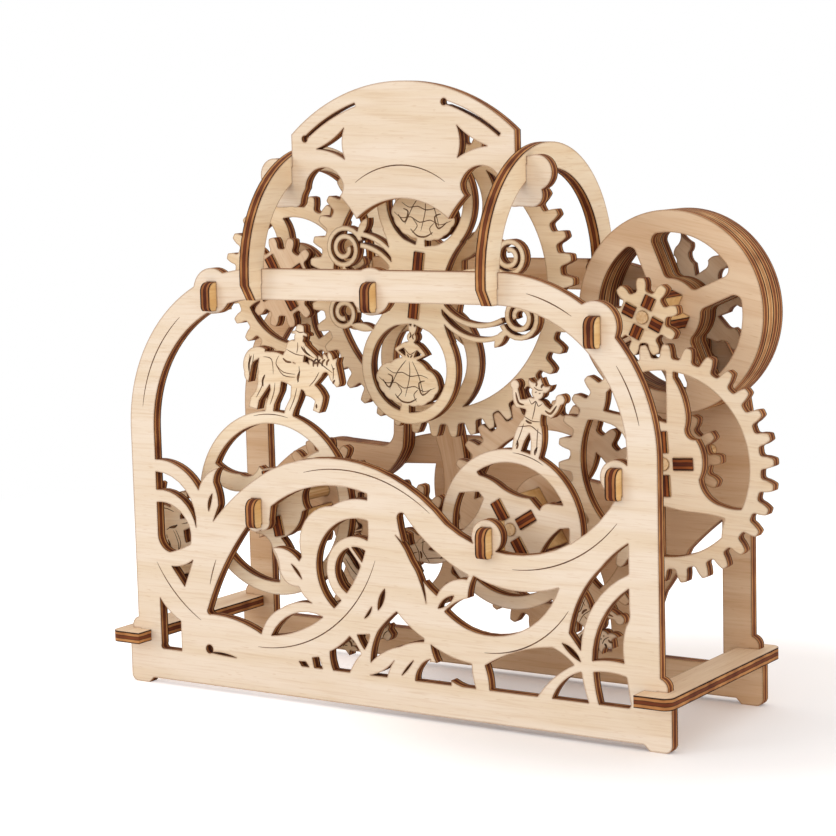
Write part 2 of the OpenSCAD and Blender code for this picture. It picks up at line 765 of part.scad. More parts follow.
// Axle from just in front of its first wheel to the back panel
module axle(at, y) {
    color(axle_birch)
        bar(at, axle_d, y - axle_proud, frame_d + washer_t);
}

module flywheel_axle() { axle(fly_at, drive_y); }
module drive_axle() { axle(drive_at, drive_y); }
module right_wheel_axle() { axle(right_at, right_disc_y); }
module left_wheel_axle() { axle(left_at, left_disc_y); }
module rotor_axle() { axle(rotor_at, rotor_y); }
module side_gear_axle() { axle(side_at, train_y); }
module idler_axle() { axle(idler_at, train_y); }

// Washers glued over the axle ends behind the back panel
module axle_washers() {
    color(axle_birch)
        for (at = AXLES)
            difference() {
                bar(at, washer_d, frame_d, frame_d + washer_t);
                bar(at, axle_d + 2 * seat_gap, frame_d - cut, frame_d + washer_t + cut);
            }
}

// Rounds the two corners between a spoke of width w along +X and a circle of radius r with the fillet f:
// side is 1 outside the circle and -1 inside it
module spoke_corners(r, w, f, side) {
    bite = 0.4;
    nip = 0.06;
    base = w / 2 - bite;
    start = w / 2 - nip;
    centre = [sqrt(pow(r + side * f, 2) - pow(w / 2 + f, 2)), w / 2 + f];
    touch = centre * (r - side * nip) / norm(centre);
    under = centre * (r - side * bite) / norm(centre);
    sag = -f * (1 - cos(45 - side * atan2(centre[1], centre[0]) / 2));
    corner = side > 0
        ? [[r / 2, base], [centre[0], base], each bow([centre[0], start], touch, sag, 8), touch, under]
        : [[centre[0], base], [r, base], under, each bow(touch, [centre[0], start], sag, 8),
            [centre[0], start]];
    polygon(corner);
    polygon([for (k = [len(corner) - 1:-1:0]) [corner[k][0], -corner[k][1]]]);
}

// Spoked disc of the flywheel
module flywheel_disc(spoke_w) {
    ring([0, 0], flywheel_r, flywheel_rim);
    circle(fly_hub_r);
    for (a = FLY_SPOKES)
        rotate(a) {
            translate([fly_hub_r - 1, -spoke_w / 2])
                square([flywheel_r - flywheel_rim - fly_hub_r + 2, spoke_w]);
            spoke_corners(fly_hub_r, spoke_w, window_round, 1);
            spoke_corners(flywheel_r - flywheel_rim, spoke_w, window_round, -1);
        }
}

module flywheel_ply(layer, spoke_w) {
    color(gear_birch)
        wheel(fly_at, flywheel_y + layer * wheel_ply, FLY_PEGS, fly_peg_r, peg_w)
            flywheel_disc(spoke_w);
}

module flywheel_front_ply() { flywheel_ply(0, fly_spoke_w); }
module flywheel_middle_ply() { flywheel_ply(1, fly_spoke_w - 0.6); }
module flywheel_rear_ply() { flywheel_ply(2, fly_spoke_w); }

// Rim glued to the rear ply, round the flames
module flywheel_rear_rim() {
    color(gear_birch)
        plate(flame_y, flame_t)
            ring(fly_at, flywheel_r, flywheel_rim);
}

// Wheel with rays like flames behind the flywheel
module flame_wheel() {
    color(gear_birch)
        wheel(fly_at, flame_y, FLY_PEGS, fly_peg_r, peg_w, flame_t) {
            circle(flame_hub_r);
            for (k = [0:flame_count - 1])
                rotate(k * 360 / flame_count + 12)
                    outline([
                        [flame_hub_r - 1, -3.4, 0], [11.6, -2.9, -0.5], [14.4, -1.6, 0.4], [16.8, -2.3, -0.3],
                        [19.4, 0.4, -0.4], [16.4, 1.3, 0.4], [13.8, 2.6, -0.5], [11.4, 2, 0],
                        [flame_hub_r - 1, 3.2, 0]
                    ], 5);
        }
}

module flywheel_pinion() {
    color(gear_birch)
        wheel(fly_at, drive_y, FLY_PEGS, fly_peg_r, peg_w)
            toothed(flywheel_teeth, fly_turn);
}

module flywheel_pegs() {
    color(axle_birch)
        pegs(fly_at, FLY_PEGS, fly_peg_r, peg_w, drive_y - peg_proud, flame_y + flame_t + peg_proud);
}

// Drive gear with two blades that wind round its hub
module drive_gear() {
    color(gear_birch)
        wheel(drive_at, drive_y, DRIVE_PEGS, peg_r, peg_len)
            difference() {
                toothed(drive_teeth, drive_turn);
                intersection() {
                    circle(root_r(drive_teeth) - drive_rim);
                    for (a = [0, 180])
                        rotate(a) {
                            // kidney between the blade and the rim
                            outline([[2.9, 24, 0], [2.9, 21.4, -0.6], [6.3, 12.6, -0.2], [5.9, 8.9, 1],
                                [8.9, 6.4, -1.4],
                                [9.6, -3.4, 1.4], [15.6, -9.4, 1.2], [26, -8, 0], [26, 24, 0]]);
                            // opening below the hub
                            outline([[-1, -24, 0], [-1, -10.2, 0.3], [8.8, -11.5, -0.2],
                                [16.4, -12.4, 1.2], [17, -24, 0]]);
                        }
                }
            }
}

module drive_pinion() {
    color(gear_birch)
        wheel(drive_at, train_y, DRIVE_PEGS, peg_r, peg_len)
            toothed(drive_pinion_teeth, drive_turn);
}

module drive_pegs() {
    color(axle_birch)
        pegs(drive_at, DRIVE_PEGS, peg_r, peg_len, drive_y - peg_proud, train_y + wheel_ply + peg_proud);
}

// Gear with a rim, a hub and curved spokes
module spoked_gear(teeth, turn, rim, hub, spokes, spoke_w, first) {
    difference() {
        toothed(teeth, turn);
        difference() {
            circle(root_r(teeth) - rim);
            circle(hub);
            for (k = [0:spokes - 1])
                rotate(first + k * 360 / spokes)
                    curved_spoke(hub - 1, root_r(teeth) - rim + 1, spoke_w);
        }
    }
}

// Spoke that leans as it goes out from r0 to r1
module curved_spoke(r0, r1, w) {
    lean = 0.12 * (r1 - r0);
    outline([[r0, -w / 2, lean], [r1, -w / 2, 0], [r1, w / 2, -lean], [r0, w / 2, 0]]);
}

// Horse at a trot with its rider, standing on z = 0 and facing +X
module horse_rider() {
    difference() {
        union() {
            // body, neck, head and chest
            outline([
                [-10, 8.6, 0], [-6, 7.6, -0.6], [0, 8, -0.4], [5.4, 7.4, 0], [7.2, 9.6, 0], [9.4, 13, -0.5],
                [11, 14.2, 0], [12.2, 12.6, 0], [14.4, 11.2, 0.3], [15.2, 12.6, 0], [14.4, 14.6, 0],
                [13.2, 17.2, 0], [13.4, 18.8, 0], [12, 18, 0], [8.4, 17.2, -0.6], [5, 15, -0.8],
                [-2, 14.8, 0.6], [-8, 15.2, 1.2], [-11, 11.6, 0.5]
            ]);
            // tail
            outline([[-9.6, 14.4, 0], [-9.4, 15.6, 0.6], [-14.2, 14.6, 1.2], [-15.2, 8, 0.5], [-13.4, 5.6, 0],
                [-13.2, 9.4, -0.5], [-11.6, 12.2, 0]]);
            // mane
            for (i = [0:5])
                translate([11.6 - 1.25 * i, 17.6 - 0.75 * i])
                    rotate(122 + 5 * i)
                        lens([-0.8, 0], [2.6, 0], 0.75, 0.75);
            // hind legs
            outline([[-10.6, 10, 0.2], [-10.4, 6, -0.4], [-12, 2, 0], [-12.2, -0.9, 0], [-9.4, -0.9, 0],
                [-9.2, 1.6, 0], [-7.4, 5, 0], [-5.4, 9, 0]]);
            outline([[-7.4, 9.4, 0], [-6, 5.4, 0], [-6.8, 1.6, 0], [-6.8, -0.9, 0], [-4.2, -0.9, 0],
                [-4.2, 1.8, 0], [-3, 5.6, 0], [-3, 9.4, 0]]);
            // fore legs, one of them lifted
            outline([[0.2, 9, 0], [0.6, 5, 0], [-0.6, 1.6, 0], [-0.6, -0.9, 0], [2, -0.9, 0], [2.2, 1.6, 0],
                [3.2, 5, 0], [3.8, 9, 0]]);
            outline([[3, 9.6, 0], [5.4, 6.6, -0.3], [8.4, 6, 0], [8.2, 3.4, 0], [10.2, 3.2, 0.2],
                [10.8, 7.6, 0.5], [6.6, 10.4, 0]]);
            // rider: leg, coat and arm, head and hat
            outline([[-2.6, 15, 0], [1.2, 14, 0], [1.6, 10.2, 0], [1, 8.6, 0], [3.8, 8.4, 0], [3.6, 10.6, 0],
                [4, 15, 0.4]]);
            outline([[-4.4, 13.6, 0], [3, 14.8, 0], [3, 17, 0], [6.8, 16.2, 0.3], [7, 17.6, 0],
                [3, 19.6, 0.4],
                [1.4, 20.3, 0], [-1.6, 20, 0.6], [-3, 17, 0]]);
            translate([0.6, 21.1])
                circle(1.5);
            outline([[-1.9, 21.6, -0.2], [3, 21.9, 0.2], [2.8, 22.7, 0], [2, 22.8, 0], [1.6, 24.4, 0.3],
                [-0.6, 24.2, 0], [-0.9, 22.6, 0], [-1.9, 22.3, 0]]);
        }
        // gap between the reins and the neck
        lens([6.2, 15.6], [8.6, 16.4], 0.2, 0.2);
    }
}

// Ring with a hub and three bent spokes, carrying three riders
module left_figure_wheel() {
    color(birch)
        wheel(left_at, left_disc_y, LEFT_PEGS, left_peg_r, peg_len) {
            ring([0, 0], left_disc_r, disc_rim);
            circle(figure_hub_r + 1);
            for (a = LEFT_SPOKES)
                rotate(a)
                    outline([[4, -6, 0], [8.4, -6.4, -1.6], [13, -1.2, -1], [left_disc_r - 2, 0.2, 0],
                        [left_disc_r - 1.6, 3.4, 2.4], [9, 1.6, 0]]);
            for (k = [0:2])
                rotate(LEFT_FIGURES + k * 120 - 90)
                    translate([0, left_disc_r - 0.4])
                        horse_rider();
        }
}

module left_wheel_gear() {
    color(gear_birch)
        wheel(left_at, train_y, LEFT_PEGS, left_peg_r, peg_len)
            toothed(left_teeth, left_turn);
}

module left_wheel_pegs() {
    color(axle_birch)
        pegs(left_at, LEFT_PEGS, left_peg_r, peg_len, left_disc_y - peg_proud,
            train_y + wheel_ply + peg_proud);
}

// Juggler with raised arms, standing on z = 0
module juggler() {
    // legs in wide trousers
    outline([[-3.9, -0.6, 0], [-1.5, -0.6, 0], [-1.2, 1.4, -0.2], [0, 5.4, -0.2], [1.2, 1.4, 0], [1.5, -0.6, 0],
        [3.9, -0.6, 0], [4, 0.8, 0.5], [2.9, 8, 0], [-2.9, 8, 0.5], [-4, 0.8, 0]]);
    // coat with tails
    outline([[-3.5, 5.4, 0.2], [0, 6.4, 0.2], [3.5, 5.4, 0], [2.4, 9, -0.4], [2.9, 13, 0.3], [1.2, 14.2, 0],
        [-1.2, 14.2, 0.3], [-2.9, 13, -0.4], [-2.4, 9, 0]]);
    // arms
    outline([[1.6, 10.8, -0.2], [5, 10.6, 0.4], [6.9, 14.8, 0.2], [5.5, 15.4, 0], [4.3, 12.8, 0],
        [1.6, 13.8, 0]]);
    outline([[-1.6, 13.8, 0], [-4.3, 12.8, 0], [-5.8, 15.6, 0.2], [-7.1, 14.6, 0.4], [-5.1, 10.4, -0.2],
        [-1.6, 10.8, 0]]);
    // head and two-horned cap
    translate([0, 15.8])
        circle(1.7);
    outline([[-2, 16.2, -0.3], [2, 16.2, 0.4], [3.2, 18.6, -0.3], [1.2, 18, 0], [0, 19.6, 0], [-1.2, 18, -0.3],
        [-3.2, 18.6, 0.4]]);
    // the things that are juggled
    translate([6.5, 15.9])
        circle(1.3);
    translate([-6.7, 15.9])
        circle(1.3);
}

// Disc with a broad bent web between four openings, carrying three jugglers
module right_figure_wheel() {
    color(birch)
        wheel(right_at, right_disc_y, RIGHT_PEGS, peg_r, peg_len) {
            difference() {
                circle(right_disc_r);
                intersection() {
                    circle(right_disc_r - disc_rim);
                    for (a = [0, 180])
                        rotate(a) {
                            outline([[-9.8, 14.6, 0], [-8.8, 13.2, -0.4], [-2.5, 10.5, 0.6],
                                [5.8, 8.2, 0], [8.6, 5.4, -0.8],
                                [12, 7.2, 0], [20, 7, 0], [12, 20, 0], [-8, 20, 0]]);
                            outline([[7.6, -7.4, -0.8], [14.2, 1.2, 0], [20, 2, 0], [18, -8, 0], [9, -9, 0]]);
                        }
                }
            }
            for (k = [0:2])
                rotate(RIGHT_FIGURES + k * 120 - 90)
                    translate([0, right_disc_r - 0.3])
                        juggler();
        }
}

module right_wheel_gear() {
    color(gear_birch)
        wheel(right_at, train_y, RIGHT_PEGS, peg_r, peg_len)
            spoked_gear(right_teeth, right_turn, 4.4, 11.5, 3, 7, 62);
}

module right_wheel_pegs() {
    color(axle_birch)
        pegs(right_at, RIGHT_PEGS, peg_r, peg_len, right_disc_y - peg_proud, train_y + wheel_ply + peg_proud);
}

module idler_gear() {
    color(gear_birch)
        wheel(idler_at, train_y, [], peg_r, peg_len)
            spoked_gear(idler_teeth, idler_turn, 3.2, 5.5, 3, 4, 30);
}

// Dancer in a wide skirt, standing on z = 0
module dancer() {
    outline([[-1.6, -0.8, 0], [1.6, -0.8, 0], [1.2, 2.2, 0.3], [4, 2.6, 0.4], [6.8, 4, 0.4], [8.8, 6.4, 0.6],
        [9.4, 9.2, 0.8], [5.6, 12.4, 0.5], [1.2, 14.4, 0], [-1.2, 14.4, 0.5], [-5.6, 12.4, 0.8],
        [-9.4, 9.2, 0.6],
        [-8.8, 6.4, 0.4], [-6.8, 4, 0.4], [-4, 2.6, 0.3], [-1.2, 2.2, 0]]);
    // bodice, with the hands on the hips
    outline([[-1.3, 14, 0], [1.3, 14, -0.3], [2.2, 17.2, 0.3], [0.7, 18.8, 0], [-0.7, 18.8, 0.3],
        [-2.2, 17.2, -0.3]]);
    outline([[0.8, 13.4, 0], [4.9, 16, 0.2], [1.7, 18.5, 0], [1.1, 17.3, -0.1], [3.6, 15.9, 0],
        [0.8, 14.6, 0]]);
    outline([[-0.8, 14.6, 0], [-3.6, 15.9, -0.1], [-1.1, 17.3, 0], [-1.7, 18.5, 0.2], [-4.9, 16, 0],
        [-0.8, 13.4, 0]]);
    translate([0, 19.9])
        circle(1.4);
    // plume that reaches the ring
    for (a = [-24, 0, 24])
        translate([0, 20.6])
            rotate(90 + a)
                lens([-0.6, 0], [a == 0 ? 3.4 : 2.9, 0], 0.6, 0.6);
}

// Scroll that winds inwards from radius r, in one closed outline
module scroll(r, turns, w, from = 0) {
    n = 40;
    pitch = (r - w - 0.8) / turns;
    function at(i, side) =
        let (a = from + 360 * turns * i / n, q = r - w / 2 - pitch * turns * i / n + side * w / 2)
        q * [cos(a), sin(a)];
    polygon([for (i = [0:n]) at(i, 1), for (i = [n:-1:0]) at(i, -1)]);
}

// Arm beside the rotor's hub: stems and ribs that carry two scrolled roses, and leaves.
// near and far are the roses' centres
module rose_arm(near, far) {
    // stems from the hub to the two roses, two of them to the far one
    link([near[0] - 5.2, near[1]], [0.4, 7], 16, 1.6);
    link([-1, 7], [far[0] + 4.8, far[1]], 16, 1.6);
    link([-4, 7], [far[0] + 1.4, far[1] - 5], 14, 1.4);
    // bowed ribs to the near rose
    for (i = [0:1])
        link([5.6 - 2.6 * i, 7.2], [near[0] + 4.4 - 2.8 * i, near[1] - 3.2 - 1.8 * i], 15, 1.3);
    translate(near)
        scroll(6.4, 2, 1.3, -60);
    translate(far)
        scroll(5.7, 1.8, 1.3, -80);
    // leaves
    lens([near[0] + 4, near[1] - 4], [near[0] + 9, near[1] - 6.4], 1.1, 1.1);
    lens([far[0] - 2.9, far[1] - 2.4], [far[0] - 2.9, far[1] - 10], 1, 1.2);
}

// Two rings with dancers, a waisted hub and rose scrolls between them
module rotor_plate() {
    color(birch)
        wheel(rotor_at, rotor_y, ROTOR_PEGS, rotor_peg_r, peg_len)
            rotate(ROTOR_TILT) {
                circle(rotor_hub_r);
                for (a = [0, 180])
                    rotate(a) {
                        ring([rotor_ring_x, 0], rotor_ring_r, rotor_ring_w);
                        // waist of the hub, widening into the ring
                        outline([[-1, -7.6, -1.2], [13, -12, 0], [10, 0, 0], [13, 12, -1.2], [-1, 7.6, 0]]);
                        // with the rotor at rest both dancers stand upright
                        up = a == 0 ? -1 : 1;
                        translate([rotor_ring_x - up * (rotor_ring_r - rotor_ring_w + 0.2), 0])
                            rotate(-90 * up)
                                dancer();
                        roses = a == 0 ? RIGHT_ROSES : LEFT_ROSES;
                        rose_arm(roses[0], roses[1]);
                    }
            }
}

// Ring gear with the rim, two lobes and the hub that the pegs hold
module ring_gear() {
    inner = root_r(ring_teeth) - ring_rim;
    color(gear_birch)
        wheel(rotor_at, train_y, ROTOR_PEGS, rotor_peg_r, peg_len)
            union() {
                difference() {
                    toothed(ring_teeth, ring_turn);
                    circle(inner);
                }
                rotate(ROTOR_TILT)
                    for (a = [0, 180])
                        rotate(a) {
                            ring([20.6, 0], 15.4, 4);
                            outline([
                                [-0.5, -9, -1.2], [11, -7.4, -0.8], [16, -12, 0], [10, 0, 0],
                                [16, 12, -0.8], [11, 7.4, -1.2], [-0.5, 9, 0]
                            ]);
                        }
            }
}

module rotor_pegs() {
    color(axle_birch)
        pegs(rotor_at, ROTOR_PEGS, rotor_peg_r, peg_len, rotor_y - peg_proud,
            train_y + wheel_ply + peg_proud);
}

module side_gear() {
    color(gear_birch)
        wheel(side_at, side_y, SIDE_PEGS, peg_r, peg_len)
            spoked_gear(side_teeth, side_turn, 3, 10.4, 4, 4.4, 20);
}

module side_pinion() {
    color(gear_birch)
        wheel(side_at, train_y, SIDE_PEGS, peg_r, peg_len)
            toothed(side_pinion_teeth, side_turn);
}

module side_gear_pegs() {
    color(axle_birch)
        pegs(side_at, SIDE_PEGS, peg_r, peg_len, train_y - peg_proud, side_y + wheel_ply + peg_proud);
}

// Puts the origin at the middle of the footprint
module placed() {
    translate([-middle_x, -middle_y, 0])
        children();
}

placed() front_panel();
placed() back_panel();
placed() wave_front_ply();
placed() wave_rear_ply();
placed() strut_ply();
placed() left_ledge();
placed() right_ledge();
placed() left_arch();
placed() right_arch();
placed() title_sign();
placed() axle_clips();
placed() flywheel_axle();
placed() drive_axle();
placed() right_wheel_axle();
placed() left_wheel_axle();
placed() rotor_axle();
placed() side_gear_axle();
placed() idler_axle();
placed() axle_washers();
placed() flywheel_front_ply();
placed() flywheel_middle_ply();
placed() flywheel_rear_ply();
placed() flywheel_rear_rim();
placed() flame_wheel();
placed() flywheel_pinion();
placed() flywheel_pegs();
placed() drive_gear();
placed() drive_pinion();
placed() drive_pegs();
placed() right_figure_wheel();
placed() right_wheel_gear();
placed() right_wheel_pegs();
placed() left_figure_wheel();
placed() left_wheel_gear();
placed() left_wheel_pegs();
placed() idler_gear();
placed() rotor_plate();
placed() ring_gear();
placed() rotor_pegs();
placed() side_gear();
placed() side_pinion();
placed() side_gear_pegs();
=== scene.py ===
import math

import bpy
from mathutils import Matrix, Vector


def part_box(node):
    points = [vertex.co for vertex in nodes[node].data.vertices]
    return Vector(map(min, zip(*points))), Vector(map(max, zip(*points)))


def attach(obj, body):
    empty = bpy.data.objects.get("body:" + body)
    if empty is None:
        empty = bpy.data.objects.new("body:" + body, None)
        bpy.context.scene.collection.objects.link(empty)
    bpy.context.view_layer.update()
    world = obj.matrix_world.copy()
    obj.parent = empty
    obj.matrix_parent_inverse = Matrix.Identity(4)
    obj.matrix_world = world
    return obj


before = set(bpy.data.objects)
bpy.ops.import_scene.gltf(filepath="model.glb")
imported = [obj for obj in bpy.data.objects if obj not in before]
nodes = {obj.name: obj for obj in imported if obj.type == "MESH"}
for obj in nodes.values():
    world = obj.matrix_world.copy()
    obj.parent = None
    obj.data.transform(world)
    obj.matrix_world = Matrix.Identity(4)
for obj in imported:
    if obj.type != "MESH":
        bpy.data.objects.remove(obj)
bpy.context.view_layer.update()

# Camera
# A long lens a little above the stage, from the right of the theatre.
# The image is 836 px square and the focal length is given in its pixels.
IMAGE_PX = 836
FOCAL_PX = 2335.1
SENSOR_MM = 36.0
NEAR_M, FAR_M = 0.01, 20
YAW, PITCH, ROLL = math.radians(33.10), math.radians(7.218), math.radians(-1.479)
camera_at = Vector((320.74, -508.85, 149.87)) / 1000

looking = Vector((-math.sin(YAW) * math.cos(PITCH), math.cos(YAW) * math.cos(PITCH),
                  -math.sin(PITCH)))
level_right = Vector((math.cos(YAW), math.sin(YAW), 0))
level_up = level_right.cross(looking)
camera_right = math.cos(ROLL) * level_right + math.sin(ROLL) * level_up
camera_up = -math.sin(ROLL) * level_right + math.cos(ROLL) * level_up
lens = bpy.data.cameras.new("camera")
lens.sensor_width = SENSOR_MM
lens.lens = FOCAL_PX / IMAGE_PX * SENSOR_MM
lens.clip_start, lens.clip_end = NEAR_M, FAR_M
camera = bpy.data.objects.new("camera", lens)
rows = zip(zip(camera_right, camera_up, -looking), camera_at)
camera.matrix_world = Matrix([(*row, at) for row, at in rows] + [(0, 0, 0, 1)])
bpy.context.scene.collection.objects.link(camera)
bpy.context.scene.camera = camera
bpy.context.scene.view_settings.view_transform = "Standard"


def srgb(code):
    """Linear colour of an sRGB hex value."""
    parts = [int(code[i:i + 2], 16) / 255 for i in (1, 3, 5)]
    return tuple(p / 12.92 if p <= 0.04045 else ((p + 0.055) / 1.055) ** 2.4 for p in parts) + (1,)


def add_node(tree, kind, settings=None, links=None, stops=()):
    """Adds a shader node, sets its properties and colour stops, and sets or links its inputs."""
    made = tree.nodes.new(kind)
    for name, value in (settings or {}).items():
        setattr(made, name, value)
    for socket, value in (links or {}).items():
        if isinstance(value, bpy.types.NodeSocket):
            tree.links.new(value, made.inputs[socket])
        else:
            made.inputs[socket].default_value = value
    if stops:
        while len(made.color_ramp.elements) < len(stops):
            made.color_ramp.elements.new(0.5)
        for stop, (at, colour) in zip(made.color_ramp.elements, stops):
            stop.position, stop.color = at, srgb(colour)
    return made


def new_tree(name):
    """A new material and its emptied node tree."""
    material = bpy.data.materials.new(name)
    material.use_nodes = True
    material.node_tree.nodes.clear()
    return material, material.node_tree


# Table and studio light
# White paper under the theatre keeps its soft warm shadow, deepened by a painted shadow at its
# right, and fades into a white room.
# A broad lamp stands in front at the left, and a weak one at the right.
PAPER, PAPER_GLOW = "#F6F2F0", "#B4B1B0"
WHITE = (1, 1, 1, 1)
# distances in metres: the paper turns white far from the theatre, and round a spot at the theatre's
# right its glow is dimmed to a share, a painted shadow;
# the glow is seen by the camera only, so it lights nothing
FADE_FROM, FADE_TO = 0.17, 0.40
PAINTED_SHADOW_AT, PAINTED_SHADOW_FROM, PAINTED_SHADOW_TO, PAINTED_SHADOW_GLOW = (0.06, 0.02, 0.0), 0.055, 0.115, 0.20
PAPER_HALF = 4.0
LAMPS = [("left_lamp", (-0.9, -1.1, 0.5), 3.2, 0.5), ("right_lamp", (1.1, -0.5, 0.5), 0.9, 0.8)]
LAMP_AIM = (0, 0, 0.08)

paper, tree = new_tree("white_paper")
rays = add_node(tree, "ShaderNodeLightPath")
spot = add_node(tree, "ShaderNodeTexCoord")
away = add_node(tree, "ShaderNodeVectorMath", {"operation": "LENGTH"}, {0: spot.outputs["Object"]})
far = add_node(tree, "ShaderNodeMapRange", {"interpolation_type": "SMOOTHSTEP"}, {
    "Value": away.outputs["Value"], "From Min": FADE_FROM, "From Max": FADE_TO})
lit = add_node(tree, "ShaderNodeBsdfDiffuse", links={"Color": srgb(PAPER)})
# painted shadow: the camera-only glow fades down to a share round a fixed spot beside the theatre
aside = add_node(tree, "ShaderNodeVectorMath", {"operation": "DISTANCE"}, {
    0: spot.outputs["Object"], 1: PAINTED_SHADOW_AT})
glow = add_node(tree, "ShaderNodeMapRange", {"interpolation_type": "SMOOTHSTEP"}, {
    "Value": aside.outputs["Value"], "From Min": PAINTED_SHADOW_FROM, "From Max": PAINTED_SHADOW_TO,
    "To Min": PAINTED_SHADOW_GLOW})
glow = add_node(tree, "ShaderNodeMath", {"operation": "MULTIPLY"}, {
    0: glow.outputs[0], 1: rays.outputs["Is Camera Ray"]})
lift = add_node(tree, "ShaderNodeEmission", links={
    "Color": srgb(PAPER_GLOW), "Strength": glow.outputs[0]})
near = add_node(tree, "ShaderNodeAddShader", links={0: lit.outputs[0], 1: lift.outputs[0]})
white = add_node(tree, "ShaderNodeEmission", links={"Color": WHITE, "Strength": 1.0})
seen = add_node(tree, "ShaderNodeMath", {"operation": "MULTIPLY"}, {
    0: rays.outputs["Is Camera Ray"], 1: far.outputs[0]})
both = add_node(tree, "ShaderNodeMixShader", links={
    0: seen.outputs[0], 1: near.outputs[0], 2: white.outputs[0]})
add_node(tree, "ShaderNodeOutputMaterial", links={"Surface": both.outputs[0]})

sheet = bpy.data.meshes.new("paper")
turns = [(-1, -1), (1, -1), (1, 1), (-1, 1)]
sheet.from_pydata([(x * PAPER_HALF, y * PAPER_HALF, 0) for x, y in turns], [], [(0, 1, 2, 3)])
table = bpy.data.objects.new("paper", sheet)
bpy.context.scene.collection.objects.link(table)
sheet.materials.append(paper)

room = bpy.data.worlds.new("white_room")
room.use_nodes = True
tree = room.node_tree
tree.nodes.clear()
sky = add_node(tree, "ShaderNodeBackground", links={"Color": WHITE, "Strength": 1.0})
add_node(tree, "ShaderNodeOutputWorld", links={"Surface": sky.outputs[0]})
bpy.context.scene.world = room

for name, at, watts, size in LAMPS:
    lamp = bpy.data.lights.new(name, "AREA")
    lamp.energy, lamp.size = watts, size
    holder = bpy.data.objects.new(name, lamp)
    holder.location = at
    holder.rotation_euler = (Vector(LAMP_AIM) - Vector(at)).to_track_quat("-Z", "Y").to_euler()
    bpy.context.scene.collection.objects.link(holder)

# Front panel
# Birch plywood of three veneers, 3 mm thick, cut out by laser from one board.
# Its faces stay raw and pale with a fine level grain, and its cut edges are scorched brown.
MM = 1000.0
AXES = "xyz"
FACE, FIBRE_TINT = ("#ECDAC5", "#E4CEB2"), "#D8BC99"
EDGE, CHAR, SOOT = ("#C08650", "#783D1D"), "#2C150B", "#A98467"
# widths and lengths of the fibres, the pores and the broad figure of birch, drawn a little
# coarser than they are, because they would not show at this distance
FIBRE_MM, PORE_MM, FIGURE_MM = (0.55, 14.0), (0.35, 3.0), (5.0, 60.0)
FIBRE_SHOWS, FIBRE_DEPTH = (0.50, 0.80), 0.36
PORE_SHOWS, PORE_DEPTH = (0.70, 0.82), 0.30
FIGURE_FADE = (0.32, 0.62)
# the tint of the border beside each cut, and how far it reaches in metres
SCORCH_TINT, SCORCH_REACH, SCORCH_FADE, SCORCH_DEPTH = "#8F5E38", 0.0005, (0.55, 0.95), 0.72
# the charred lines of glue wander a little, and soot lies on the edge in patches
WANDER_MM, WANDER_DEPTH = 2.5, 0.10
SOOT_MM, SOOT_FADE, SOOT_DEPTH = 7.0, (0.35, 0.70), 0.80
# bare birch and a rough scorched edge, with the fibres' relief in metres
BIRCH_IOR, BIRCH_SHEEN, FACE_ROUGHNESS, EDGE_ROUGHNESS = 1.45, 0.3, 0.62, 0.85
RELIEF_M, RELIEF_STRENGTH = 0.0001, 0.25
# a surface counts as square to an axis when its normal's part along that axis is over this
SQUARE_TO = 0.6


def veneer(tree, place, across, grain, face, offset):
    """Colour of a raw birch face, and the height of its fibres.

    The face lies square to the axis across, and grain turns its fibres from the level, in degrees.
    """
    order = {"x": "yzx", "y": "xzy", "z": "yxz"}[across]
    parts = add_node(tree, "ShaderNodeSeparateXYZ", links={0: place.outputs["Object"]})
    board = add_node(tree, "ShaderNodeCombineXYZ", links={
        i: parts.outputs[axis.upper()] for i, axis in enumerate(order)})
    turned = add_node(tree, "ShaderNodeVectorRotate", {"rotation_type": "Z_AXIS"}, {
        "Vector": board.outputs[0], "Angle": math.radians(grain)})

    def streaks(size_mm, detail, shift):
        width_mm, length_mm = size_mm
        sized = add_node(tree, "ShaderNodeMapping", links={
            "Vector": turned.outputs[0], "Location": (offset + shift, offset - shift, offset),
            "Scale": (MM / length_mm, MM / width_mm, MM / width_mm)})
        return add_node(tree, "ShaderNodeTexNoise", links={
            "Vector": sized.outputs[0], "Scale": 1.0, "Detail": detail, "Roughness": 0.55,
            "Distortion": 0.3})

    light, dark = face
    fibre = streaks(FIBRE_MM, 2.0, 0.0)
    figure = streaks(FIGURE_MM, 3.0, 7.0)
    pores = streaks(PORE_MM, 0.0, 3.0)
    ground = add_node(tree, "ShaderNodeValToRGB", links={"Fac": figure.outputs["Fac"]},
                      stops=list(zip(FIGURE_FADE, (dark, light))))
    fibres = add_node(tree, "ShaderNodeMapRange", links={
        "Value": fibre.outputs["Fac"], "From Min": FIBRE_SHOWS[0], "From Max": FIBRE_SHOWS[1],
        "To Max": FIBRE_DEPTH})
    dots = add_node(tree, "ShaderNodeMapRange", links={
        "Value": pores.outputs["Fac"], "From Min": PORE_SHOWS[0], "From Max": PORE_SHOWS[1],
        "To Max": PORE_DEPTH})
    marks = add_node(tree, "ShaderNodeMath", {"operation": "MAXIMUM"}, {
        0: fibres.outputs[0], 1: dots.outputs[0]})
    tone = add_node(tree, "ShaderNodeMix", {"data_type": "RGBA", "blend_type": "MULTIPLY"}, {
        "Factor": marks.outputs[0], 6: ground.outputs[0], 7: srgb(FIBRE_TINT)})
    # the beam's heat tints a thin border of the faces
    inward = {"inside": True, "only_local": True, "samples": 6}
    border = add_node(tree, "ShaderNodeAmbientOcclusion", inward, {"Distance": SCORCH_REACH})
    tint = add_node(tree, "ShaderNodeMapRange", links={
        "Value": border.outputs["AO"], "From Min": SCORCH_FADE[0], "From Max": SCORCH_FADE[1],
        "To Min": SCORCH_DEPTH, "To Max": 0.0})
    warmed = add_node(tree, "ShaderNodeMix", {"data_type": "RGBA"}, {
        "Factor": tint.outputs[0], 6: tone.outputs[2], 7: srgb(SCORCH_TINT)})
    return warmed.outputs[2], fibre.outputs["Fac"]


